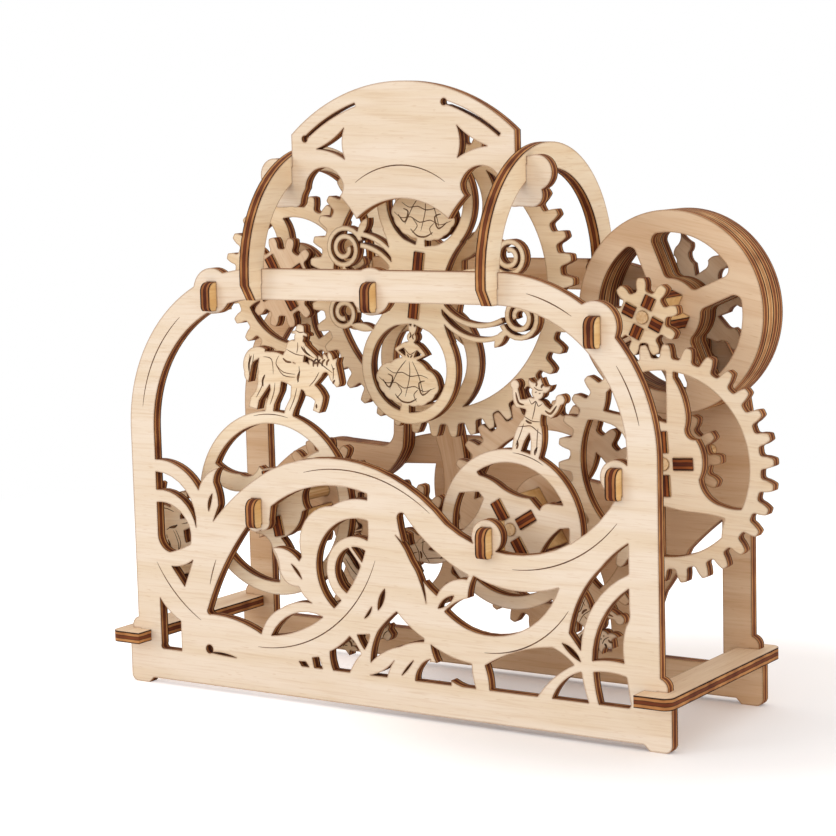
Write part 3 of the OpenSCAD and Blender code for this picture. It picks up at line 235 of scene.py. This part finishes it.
def cut_edge(tree, place, layer, edge):
    """Colour of a cut edge: two outer veneers, a darker core, and charred lines of glue between.

    layer runs from 0 to 1 through the thickness.
    """
    outer, core = edge
    wander = add_node(tree, "ShaderNodeTexNoise", links={
        "Vector": place.outputs["Object"], "Scale": MM / WANDER_MM, "Detail": 3.0})
    moved = add_node(tree, "ShaderNodeMath", {"operation": "MULTIPLY_ADD"}, {
        0: wander.outputs["Fac"], 1: WANDER_DEPTH, 2: layer})
    veneers = add_node(tree, "ShaderNodeValToRGB", links={"Fac": moved.outputs[0]}, stops=[
        (0.10, CHAR), (0.17, outer), (0.34, outer), (0.39, CHAR), (0.44, core),
        (0.64, core), (0.69, CHAR), (0.74, outer), (0.90, outer), (0.96, CHAR)])
    patches = add_node(tree, "ShaderNodeTexNoise", links={
        "Vector": place.outputs["Object"], "Scale": MM / SOOT_MM, "Detail": 2.0})
    share = add_node(tree, "ShaderNodeMapRange", links={
        "Value": patches.outputs["Fac"], "From Min": SOOT_FADE[0], "From Max": SOOT_FADE[1],
        "To Max": SOOT_DEPTH})
    burnt = add_node(tree, "ShaderNodeMix", {"data_type": "RGBA", "blend_type": "MULTIPLY"}, {
        "Factor": share.outputs[0], 6: veneers.outputs[0], 7: srgb(SOOT)})
    return burnt.outputs[2]


def plywood_surface(tree, face, edge, is_face, fibre):
    """The shader of raw plywood: smoother faces with a fine relief, rough cut edges."""
    colour = add_node(tree, "ShaderNodeMix", {"data_type": "RGBA"}, {
        "Factor": is_face, 6: edge, 7: face})
    rough = add_node(tree, "ShaderNodeMapRange", links={
        "Value": is_face, "To Min": EDGE_ROUGHNESS, "To Max": FACE_ROUGHNESS})
    relief = add_node(tree, "ShaderNodeBump", links={
        "Strength": RELIEF_STRENGTH, "Distance": RELIEF_M, "Height": fibre})
    wood = add_node(tree, "ShaderNodeBsdfPrincipled", links={
        "Base Color": colour.outputs[2], "Roughness": rough.outputs[0], "IOR": BIRCH_IOR,
        "Specular IOR Level": BIRCH_SHEEN, "Normal": relief.outputs[0]})
    add_node(tree, "ShaderNodeOutputMaterial", links={"Surface": wood.outputs[0]})


def lies_along(tree, place, across):
    """1 where the surface is square to the axis across, else 0."""
    facing = add_node(tree, "ShaderNodeSeparateXYZ", links={0: place.outputs["Normal"]})
    flat = add_node(tree, "ShaderNodeMath", {"operation": "ABSOLUTE"}, {
        0: facing.outputs[across.upper()]})
    square = add_node(tree, "ShaderNodeMath", {"operation": "GREATER_THAN"}, {
        0: flat.outputs[0], 1: SQUARE_TO})
    return square.outputs[0]


def wear(node, material):
    """Gives a CAD node its material."""
    nodes[node].data.materials.clear()
    nodes[node].data.materials.append(material)


def plate_of_birch(node, across, grain=0.0, face=FACE, edge=EDGE):
    """Gives a plate plywood whose veneers lie square to the axis across."""
    material, tree = new_tree(node + "_birch")
    place = add_node(tree, "ShaderNodeTexCoord")
    low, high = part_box(node)
    axis = AXES.index(across)
    # each plate is cut from another part of the board
    offset = sum(ord(letter) for letter in node) % 97
    face_colour, fibre = veneer(tree, place, across, grain, face, offset)
    parts = add_node(tree, "ShaderNodeSeparateXYZ", links={0: place.outputs["Object"]})
    layer = add_node(tree, "ShaderNodeMapRange", links={
        "Value": parts.outputs[across.upper()], "From Min": low[axis], "From Max": high[axis]})
    edge_colour = cut_edge(tree, place, layer.outputs[0], edge)
    plywood_surface(tree, face_colour, edge_colour, lies_along(tree, place, across), fibre)
    wear(node, material)


plate_of_birch("front_panel", "y")

# Back panel
# The rear board and what is glued on it: a wave of two plies and a curved strut.
# It stands in the shade of the wheels, and that shade is painted into its faces as a darker, redder
# tone.
REAR_FACE_PAINTED_SHADE = ("#DFC1A0", "#D0AA83")
plate_of_birch("back_panel", "y", 0, REAR_FACE_PAINTED_SHADE)
plate_of_birch("wave_front_ply", "y", 4, REAR_FACE_PAINTED_SHADE)
plate_of_birch("wave_rear_ply", "y", 8, REAR_FACE_PAINTED_SHADE)
plate_of_birch("strut_ply", "y", 80, REAR_FACE_PAINTED_SHADE)

# Ledges
# Two level boards across the ends, lapped into both panels from outside.
# Their grain runs from front to back.
# painted shade: the ledges' faces are given a darker, warmer tone for the dimmer light on their
# tops
LEDGE_FACE_PAINTED_SHADE = ("#E8CCAB", "#DBB893")
plate_of_birch("left_ledge", "z", 0, LEDGE_FACE_PAINTED_SHADE)
plate_of_birch("right_ledge", "z", 0, LEDGE_FACE_PAINTED_SHADE)

# Arches
# Half-round boards that stand across the top and are pushed down over both crossbars.
# Their veneers stand upright, so the striped edge shows to the front.
ARCH_FACE = ("#F4DFC0", "#EACDA6")
plate_of_birch("left_arch", "x", 0, ARCH_FACE)
plate_of_birch("right_arch", "x", 0, ARCH_FACE)

# Title sign
# A shaped board of the same plywood that sits in the laps of both arches.
# Its face is left bare, and its two long slots are cut through.
plate_of_birch("title_sign", "y", 2)

# Engraved lines
# Hair lines that the laser burns into the faces: short arcs beside the curves of the front panel,
# one over the middle of the sign, and the drawing on the figures further down.
# a line's width and the share of it left at the ends, and its height off the face in metres
LINE_MM, LINE_ENDS, LINE_LIFT = 0.32, 0.3, 0.00002
ARC_STEP_MM, LINE_PATCH_MM = 1.5, 1.5
panel_low, panel_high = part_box("front_panel")
middle_x, front_y = (panel_low[0] + panel_high[0]) / 2, panel_low[1]

burnt_line, tree = new_tree("burnt_line")
place = add_node(tree, "ShaderNodeTexCoord")
patchy = add_node(tree, "ShaderNodeTexNoise", links={
    "Vector": place.outputs["Object"], "Scale": MM / LINE_PATCH_MM, "Detail": 2.0})
brown = add_node(tree, "ShaderNodeValToRGB", links={"Fac": patchy.outputs["Fac"]},
                 stops=[(0.35, "#4A2C19"), (0.65, "#7A5537")])
char = add_node(tree, "ShaderNodeBsdfPrincipled", links={
    "Base Color": brown.outputs[0], "Roughness": 0.9})
add_node(tree, "ShaderNodeOutputMaterial", links={"Surface": char.outputs[0]})


def arc(centre, start, end):
    """Points of the shorter arc about centre from start towards end, in mm of the front panel."""
    radius = math.dist(centre, start)
    first = math.atan2(start[1] - centre[1], start[0] - centre[0])
    sweep = math.atan2(end[1] - centre[1], end[0] - centre[0]) - first
    sweep = (sweep + math.pi) % (2 * math.pi) - math.pi
    count = max(6, int(abs(sweep) * radius / ARC_STEP_MM))
    return [(centre[0] + radius * math.cos(first + sweep * i / count),
             centre[1] + radius * math.sin(first + sweep * i / count)) for i in range(count + 1)]


def smooth(corners):
    """A curve through the corners, by halving with the weights of a cubic."""
    for _ in range(2):
        longer = [corners[0]]
        for i in range(len(corners) - 1):
            before, after = corners[max(i - 1, 0)], corners[min(i + 2, len(corners) - 1)]
            here, there = corners[i], corners[i + 1]
            around = zip(before, here, there, after)
            longer.append(tuple((9 * (p + q) - a - b) / 16 for a, p, q, b in around))
            longer.append(there)
        corners = longer
    return corners


def engrave(name, body, lines, depth, width=LINE_MM):
    """Burns lines into the face at depth mm, each a list of (x, z) in mm from the panel's middle.

    A line is thin at its ends and widest in the middle.
    """
    corners, faces = [], []
    for line in lines:
        points = [Vector(p) for p in line]
        first = len(corners)
        for i, point in enumerate(points):
            way = (points[min(i + 1, len(points) - 1)] - points[max(i - 1, 0)]).normalized()
            swell = abs(math.sin(math.pi * i / (len(points) - 1))) ** 0.6
            half = width / 2 * (LINE_ENDS + (1 - LINE_ENDS) * swell)
            side = Vector((-way.y, way.x)) * half
            for edge in (point + side, point - side):
                corners.append((middle_x + edge.x / MM, front_y + depth / MM - LINE_LIFT,
                                edge.y / MM))
        faces += [(first + 2 * i, first + 2 * i + 1, first + 2 * i + 3, first + 2 * i + 2)
                  for i in range(len(points) - 1)]
    mesh = bpy.data.meshes.new(name)
    mesh.from_pydata(corners, [], faces)
    mesh.materials.append(burnt_line)
    drawn = bpy.data.objects.new(name, mesh)
    bpy.context.scene.collection.objects.link(drawn)
    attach(drawn, body)


# centres of the panel's curves
WAVE, BOWL, STEM, RIGHT_BOWL = (-38, 53), (-11.5, 18.3), (39.7, 78.6), (31, 48.3)
SHOULDER = 36.0
engrave("panel_lines", "frame", [
    arc((-SHOULDER, 70), (-75, 76), (-61, 100)),
    arc((SHOULDER, 70), (69, 92), (74.5, 78)),
    arc((SHOULDER, 70), (45, 108.5), (57, 103)),
    arc(WAVE, (-72.3, 33.8), (-58, 18.8)),
    arc(WAVE, (-39, 13.7), (-1.3, 40)),
    arc(BOWL, (-22.5, 61.2), (16, 53.3)),
    arc(BOWL, (-52, 36), (-54, 29)),
    arc(STEM, (39.5, 40.9), (68.5, 54.5)),
    arc(RIGHT_BOWL, (31, 19.3), (55, 32)),
], 0.0)
SIGN_DEPTH = 15.0
engrave("sign_line", "frame", [arc((-0.4, 115.6), (-14, 134.9), (13.2, 134.9))], SIGN_DEPTH)

# Hooked clips
# Small wedges of the same plywood, pushed through the panel with their veneers upright.
# Their hooked ends are burnt dark, and the broad side of each stays pale.
# x and z of the six pegged axles, in mm from the front panel's middle and its feet
AXLES_AT = {
    "flywheel": (63.3268, 101.199), "drive": (68.5, 65.3), "right": (32.2333, 48.4499),
    "left": (-38.0, 51.0), "rotor": (0.0, 108.2), "side": (-50.2151, 107.499),
}
CLIP_FACE, CLIP_EDGE = ("#EFCB92", "#DDAF6F"), ("#AE7240", "#642C13")
PLY_MM = 3.0
material, tree = new_tree("clip_birch")
place = add_node(tree, "ShaderNodeTexCoord")
face, fibre = veneer(tree, place, "x", 0, CLIP_FACE, 5)
parts = add_node(tree, "ShaderNodeSeparateXYZ", links={0: place.outputs["Object"]})
nearest = None
for x, _ in AXLES_AT.values():
    gap = add_node(tree, "ShaderNodeMath", {"operation": "SUBTRACT"}, {
        0: parts.outputs["X"], 1: middle_x + x / MM})
    gap = add_node(tree, "ShaderNodeMath", {"operation": "ABSOLUTE"}, {0: gap.outputs[0]})
    if nearest:
        gap = add_node(tree, "ShaderNodeMath", {"operation": "MINIMUM"}, {
            0: nearest.outputs[0], 1: gap.outputs[0]})
    nearest = gap
layer = add_node(tree, "ShaderNodeMath", {"operation": "MULTIPLY_ADD"}, {
    0: nearest.outputs[0], 1: MM / PLY_MM, 2: 0.5})
edge = cut_edge(tree, place, layer.outputs[0], CLIP_EDGE)
plywood_surface(tree, face, edge, lies_along(tree, place, "x"), fibre)
wear("axle_clips", material)

# Axles and washers
# Turned birch dowels of 3 mm, fixed in the back panel, and the round washers glued over their ends.
# Long fibres run along each dowel, and its sawn ends show the pores.
DOWEL_FIBRE_MM, DOWEL_PORE_MM = (0.6, 18), 0.5
material, tree = new_tree("birch_dowel")
place = add_node(tree, "ShaderNodeTexCoord")
width_mm, length_mm = DOWEL_FIBRE_MM
sized = add_node(tree, "ShaderNodeMapping", links={
    "Vector": place.outputs["Object"], "Scale": (MM / width_mm, MM / length_mm, MM / width_mm)})
fibre = add_node(tree, "ShaderNodeTexNoise", links={
    "Vector": sized.outputs[0], "Scale": 1.0, "Detail": 2.0})
along = add_node(tree, "ShaderNodeValToRGB", links={"Fac": fibre.outputs["Fac"]},
                 stops=[(0.35, "#C99C66"), (0.65, "#E5C392")])
pores = add_node(tree, "ShaderNodeTexNoise", links={
    "Vector": place.outputs["Object"], "Scale": MM / DOWEL_PORE_MM, "Detail": 2.0})
sawn = add_node(tree, "ShaderNodeValToRGB", links={"Fac": pores.outputs["Fac"]},
                stops=[(0.30, "#D2A877"), (0.70, "#E6C59B")])
plywood_surface(tree, sawn.outputs[0], along.outputs[0], lies_along(tree, place, "y"),
                fibre.outputs["Fac"])
for node in ["flywheel_axle", "drive_axle", "right_wheel_axle", "left_wheel_axle", "rotor_axle",
             "side_gear_axle", "idler_axle"]:
    wear(node, material)
# the washers take the rear boards' darker tone of painted shade
plate_of_birch("axle_washers", "y", 20, REAR_FACE_PAINTED_SHADE)

# Flywheel
# Three spoked plies glued into one heavy wheel, a rim ply behind them round a wheel of flames,
# and the pinion in front. Their grain runs crosswise from ply to ply.
WHEEL_FACE, PINION_FACE = ("#E6C9A8", "#D8B48F"), ("#F0D9B7", "#E3C49A")
FLAME_FACE = ("#E4C9A8", "#D4B28C")
OUTER_PLY_EDGE, MIDDLE_PLY_EDGE = ("#CE9258", "#8C4C26"), ("#E0AE76", "#C58A54")
REAR_RIM_EDGE = ("#BC8150", "#7A4122")
plate_of_birch("flywheel_front_ply", "y", 12, WHEEL_FACE, OUTER_PLY_EDGE)
plate_of_birch("flywheel_middle_ply", "y", 80, WHEEL_FACE, MIDDLE_PLY_EDGE)
plate_of_birch("flywheel_rear_ply", "y", -10, WHEEL_FACE, OUTER_PLY_EDGE)
plate_of_birch("flywheel_rear_rim", "y", 60, WHEEL_FACE, REAR_RIM_EDGE)
plate_of_birch("flame_wheel", "y", 40, FLAME_FACE)
plate_of_birch("flywheel_pinion", "y", 8, PINION_FACE)

# Drive gear
# The large plywood gear beside the right post, with two blades wound round its hub.
# Its pinion sits behind it on the same dowel.
plate_of_birch("drive_gear", "y", 3, ("#F1DCC0", "#E6C9A4"))
plate_of_birch("drive_pinion", "y", 15, WHEEL_FACE)

# Right figure wheel
# A plywood disc with a bent web and three jugglers, and the gear behind it.
# The drawing on the figures is engraved: fine lines, and broader marks between them.
# A figure is drawn upright, in mm from the middle of its foot on the rim.
plate_of_birch("right_figure_wheel", "y", 6, ("#F0DCC4", "#E5CBAA"))
plate_of_birch("right_wheel_gear", "y", 30, WHEEL_FACE)
RIGHT_AT, RIGHT_DEPTH, RIGHT_RADIUS, RIGHT_FIRST = AXLES_AT["right"], 11.5, 20.0, -14.0
FINE_MM, MARK_MM = 0.26, 0.6


def engrave_round(name, body, centre, places, drawing, depth, width, extra=()):
    """Engraves a drawing at places round a wheel's centre, each an angle and the foot's radius."""
    lines = []
    for degrees, radius in places:
        c, s = math.cos(math.radians(degrees)), math.sin(math.radians(degrees))
        lines += [[(centre[0] + c * x - s * (z + radius), centre[1] + s * x + c * (z + radius))
                   for x, z in smooth(part)] for part in drawing]
    engrave(name, body, lines + list(extra), depth, width)


JUGGLER = [
    [(-2.32, 9.0), (0, 8.5), (2.32, 9.0)],
    [(0, 13.6), (0.12, 11.2), (0, 8.8)],
    [(-2.08, 7.2), (-2.48, 4.2), (-3.12, 1.0)],
    [(2.08, 7.2), (2.48, 4.2), (3.12, 1.0)],
    [(-1.92, 13.6), (-0.96, 12.6), (0, 13.6), (0.96, 12.6), (1.92, 13.6)],
    [(-1.36, 16.9), (0, 16.5), (1.36, 16.9)],
    [(-3.44, 6.0), (-1.76, 6.6), (0, 7.2), (1.76, 6.6), (3.44, 6.0)],
]
JUGGLER_MARKS = [
    [(-3.0, 11.8), (-4.7, 11.9), (-6.0, 14.2)],
    [(3.0, 12.1), (4.7, 11.8), (5.9, 14.2)],
    [(-1.2, 18.6), (-0.72, 17.9), (-0.8, 17.2)],
    [(1.28, 18.4), (0.8, 17.8), (0.8, 17.2)],
    [(-0.56, 15.9), (-0.4, 15.7)],
    [(0.56, 15.9), (0.72, 15.7)],
    [(-1.76, 8.2), (-0.8, 7.9), (0.16, 8.0)],
    [(-2.96, 2.6), (-2.56, 1.4), (-2.72, 0.4)],
    [(2.96, 2.6), (2.56, 1.4), (2.72, 0.4)],
]
RIGHT_PLACES = [(RIGHT_FIRST + 120 * k, RIGHT_RADIUS) for k in range(3)]
engrave_round("juggler_marks", "right_carousel", RIGHT_AT, RIGHT_PLACES, JUGGLER_MARKS,
              RIGHT_DEPTH, MARK_MM)
engrave_round("juggler_lines", "right_carousel", RIGHT_AT, RIGHT_PLACES, JUGGLER,
              RIGHT_DEPTH, FINE_MM, [arc(RIGHT_AT, (33.5, 67.9), (42, 65.0))])

# Left figure wheel
# A plywood ring on three bent spokes with three riders on horses, and its small gear behind.
# The figures are drawn on it like those of the right wheel.
plate_of_birch("left_figure_wheel", "y", -5, ("#F4E1C6", "#EACFAA"))
plate_of_birch("left_wheel_gear", "y", 20, WHEEL_FACE)
LEFT_AT, LEFT_DEPTH, LEFT_RADIUS, LEFT_FIRST = AXLES_AT["left"], 7.5, 24.2, -12.0
RIDER = [
    [(-4.8, 15.0), (-5.4, 12.6), (-2.6, 11.0), (1.2, 11.4)],
    [(-5.4, 12.4), (-2.6, 10.2), (1.2, 10.6)],
    [(6.4, 17.2), (9.2, 15.8), (12.6, 14.6)],
    [(11.8, 16.8), (12.8, 15.0), (13.0, 12.8)],
    [(-9.8, 13.4), (-7.0, 13.4), (-5.8, 9.6)],
    [(6.0, 9.4), (7.4, 11.4), (8.4, 13.8)],
    [(-14.2, 13.0), (-13.9, 9.6), (-13.2, 7.2)],
    [(-12.9, 13.4), (-12.9, 10.6), (-13.1, 8.6)],
    [(-2.8, 17.2), (0.2, 16.6), (2.9, 16.8)],
    [(0.4, 19.8), (0.7, 18.4), (0.6, 16.9)],
    [(2.4, 19.2), (3.8, 17.8), (6.2, 17.0)],
    [(-0.8, 22.8), (0.6, 22.5), (1.9, 22.9)],
    [(1.9, 13.8), (2.4, 11.6), (2.2, 9.4)],
    [(-8.8, 8.2), (-8.9, 5.6), (-10.2, 2.2)],
    [(-4.9, 7.6), (-4.8, 4.8), (-5.5, 1.4)],
    [(2.2, 8.0), (1.9, 5.0), (0.9, 1.4)],
]
RIDER_MARKS = [
    [(6.9, 16.9), (6.3, 15.8), (6.4, 14.7)],
    [(8.3, 17.2), (7.6, 16.2), (7.7, 15.0)],
    [(9.7, 17.5), (9.0, 16.6), (9.1, 15.5)],
    [(11.0, 17.8), (10.4, 17.0), (10.5, 16.0)],
    [(12.6, 15.9), (12.9, 15.6)],
    [(13.6, 13.0), (13.2, 12.2), (13.4, 11.9)],
    [(-13.6, 12.8), (-14.0, 10.6), (-13.6, 8.4)],
    [(-8.4, 8.9), (-8.9, 7.2), (-8.5, 5.6)],
    [(1.7, 19.0), (3.2, 17.9), (5.0, 17.3)],
    [(-3.5, 14.6), (-2.2, 14.0), (-0.6, 14.2)],
    [(2.4, 12.6), (2.0, 10.8), (2.4, 9.6)],
    [(9.0, 5.4), (9.2, 4.2)],
]
LEFT_PLACES = [(LEFT_FIRST + 120 * k, LEFT_RADIUS) for k in range(3)]
engrave_round("rider_marks", "left_carousel", LEFT_AT, LEFT_PLACES, RIDER_MARKS,
              LEFT_DEPTH, MARK_MM)
engrave_round("rider_lines", "left_carousel", LEFT_AT, LEFT_PLACES, RIDER,
              LEFT_DEPTH, FINE_MM, [arc(LEFT_AT, (-43.6, 74.0), (-32.4, 74.0))])

# Idler gear
# A small plywood gear behind the scrollwork, in mesh with the gears of both figure wheels.
# It turns on its own dowel.
plate_of_birch("idler_gear", "y", 10, WHEEL_FACE)

# Rotor
# A board with two rings, a dancer in each and scrolled roses between, pegged to the ring gear.
# The dancers stand upright while the rotor rests, and their dresses are engraved.
plate_of_birch("rotor_plate", "y", 5, ("#F0DAB9", "#E5C79E"))
plate_of_birch("ring_gear", "y", 2, ("#F2DBBA", "#E6C89F"))
ROTOR_AT, ROTOR_DEPTH, ROTOR_LEAN = AXLES_AT["rotor"], 21.0, -8.1
DANCER_MARK_MM = 0.45
DANCER = [
    [(-0.9, 13.8), (-3.2, 10.4), (-5.2, 5.2)],
    [(0.9, 13.8), (3.4, 10.2), (5.4, 5.4)],
    [(0, 13.6), (0.6, 9.6), (-0.2, 4.2)],
    [(-8.9, 8.0), (-6.4, 6.8), (-3.6, 7.4), (-0.8, 6.4), (2.4, 7.4), (5.4, 6.6), (8.7, 8.2)],
    [(-6.8, 10.8), (-4.4, 9.8), (-1.8, 10.4), (0.8, 9.8), (3.8, 10.6), (6.2, 10.2)],
    [(-1.6, 16.6), (0, 15.4), (1.6, 16.6)],
    [(-2.8, 3.4), (-1.4, 5.4), (-3.0, 7.0)],
    [(3.4, 3.6), (2.4, 5.2), (3.6, 6.8)],
]
DANCER_MARKS = [
    [(-0.6, 21.2), (-0.2, 20.4), (-0.6, 19.6)],
    [(0.6, 21.0), (0.3, 20.2), (0.7, 19.5)],
    [(-0.8, 15.4), (-0.2, 14.6)],
    [(0.8, 15.4), (0.2, 14.6)],
    [(-7.6, 7.6), (-5.4, 5.8), (-4.6, 8.6), (-6.2, 9.2)],
    [(7.4, 7.6), (5.0, 5.6), (3.6, 8.4), (5.4, 9.4)],
    [(-3.4, 4.4), (-1.2, 2.9), (1.4, 3.0), (3.4, 4.4)],
]
DANCER_PLACES = [(ROTOR_LEAN, -33.5), (ROTOR_LEAN, 9.9)]
engrave_round("dancer_marks", "rotor", ROTOR_AT, DANCER_PLACES, DANCER_MARKS,
              ROTOR_DEPTH, DANCER_MARK_MM)
engrave_round("dancer_lines", "rotor", ROTOR_AT, DANCER_PLACES, DANCER, ROTOR_DEPTH, FINE_MM)

# Side gear
# The spoked plywood gear at the upper left, with the pinion that the ring gear drives.
# Four pegs lock the two together.
plate_of_birch("side_gear", "y", 14, ("#EFD6B3", "#E2C297"))
plate_of_birch("side_pinion", "y", 60, WHEEL_FACE)

# Pegs
# Square bars of the same plywood that lock each wheel's plates together.
# They are cut on all sides but two, so their ends show the three veneers.
# each wheel's pegs stand in a cross round its axle, turned by an angle in degrees
PEG_EDGE = ("#9C5627", "#642C13")
PEGS = {
    "flywheel_pegs": ("flywheel", 65), "drive_pegs": ("drive", 3),
    "right_wheel_pegs": ("right", 31), "left_wheel_pegs": ("left", 102),
    "rotor_pegs": ("rotor", 81.9), "side_gear_pegs": ("side", 30),
}
for node, (axle, degrees) in PEGS.items():
    centre = AXLES_AT[axle]
    material, tree = new_tree(node + "_birch")
    place = add_node(tree, "ShaderNodeTexCoord")
    centre_at = (middle_x + centre[0] / MM, 0.0, centre[1] / MM)
    face, fibre = veneer(tree, place, "y", 0, CLIP_FACE, 11)
    # distances and normals along the two arms of the cross
    spot = add_node(tree, "ShaderNodeVectorRotate", {"rotation_type": "Y_AXIS"}, {
        "Vector": place.outputs["Object"], "Center": centre_at, "Angle": math.radians(degrees)})
    spot = add_node(tree, "ShaderNodeVectorMath", {"operation": "SUBTRACT"}, {
        0: spot.outputs[0], 1: centre_at})
    spot = add_node(tree, "ShaderNodeVectorMath", {"operation": "ABSOLUTE"}, {0: spot.outputs[0]})
    sides = add_node(tree, "ShaderNodeSeparateXYZ", links={0: spot.outputs[0]})
    lean = add_node(tree, "ShaderNodeVectorRotate", {"rotation_type": "Y_AXIS"}, {
        "Vector": place.outputs["Normal"], "Angle": math.radians(degrees)})
    lean = add_node(tree, "ShaderNodeVectorMath", {"operation": "ABSOLUTE"}, {0: lean.outputs[0]})
    leans = add_node(tree, "ShaderNodeSeparateXYZ", links={0: lean.outputs[0]})
    thin = add_node(tree, "ShaderNodeMath", {"operation": "MINIMUM"}, {
        0: sides.outputs["X"], 1: sides.outputs["Z"]})
    layer = add_node(tree, "ShaderNodeMath", {"operation": "MULTIPLY_ADD"}, {
        0: thin.outputs[0], 1: MM / PLY_MM, 2: 0.5})
    level = add_node(tree, "ShaderNodeMath", {"operation": "GREATER_THAN"}, {
        0: sides.outputs["X"], 1: sides.outputs["Z"]})
    broad = add_node(tree, "ShaderNodeMix", {"data_type": "FLOAT"}, {
        "Factor": level.outputs[0], 2: leans.outputs["X"], 3: leans.outputs["Z"]})
    is_face = add_node(tree, "ShaderNodeMath", {"operation": "GREATER_THAN"}, {
        0: broad.outputs[0], 1: SQUARE_TO})
    edge = cut_edge(tree, place, layer.outputs[0], PEG_EDGE)
    plywood_surface(tree, face, edge, is_face.outputs[0], fibre)
    wear(node, material)
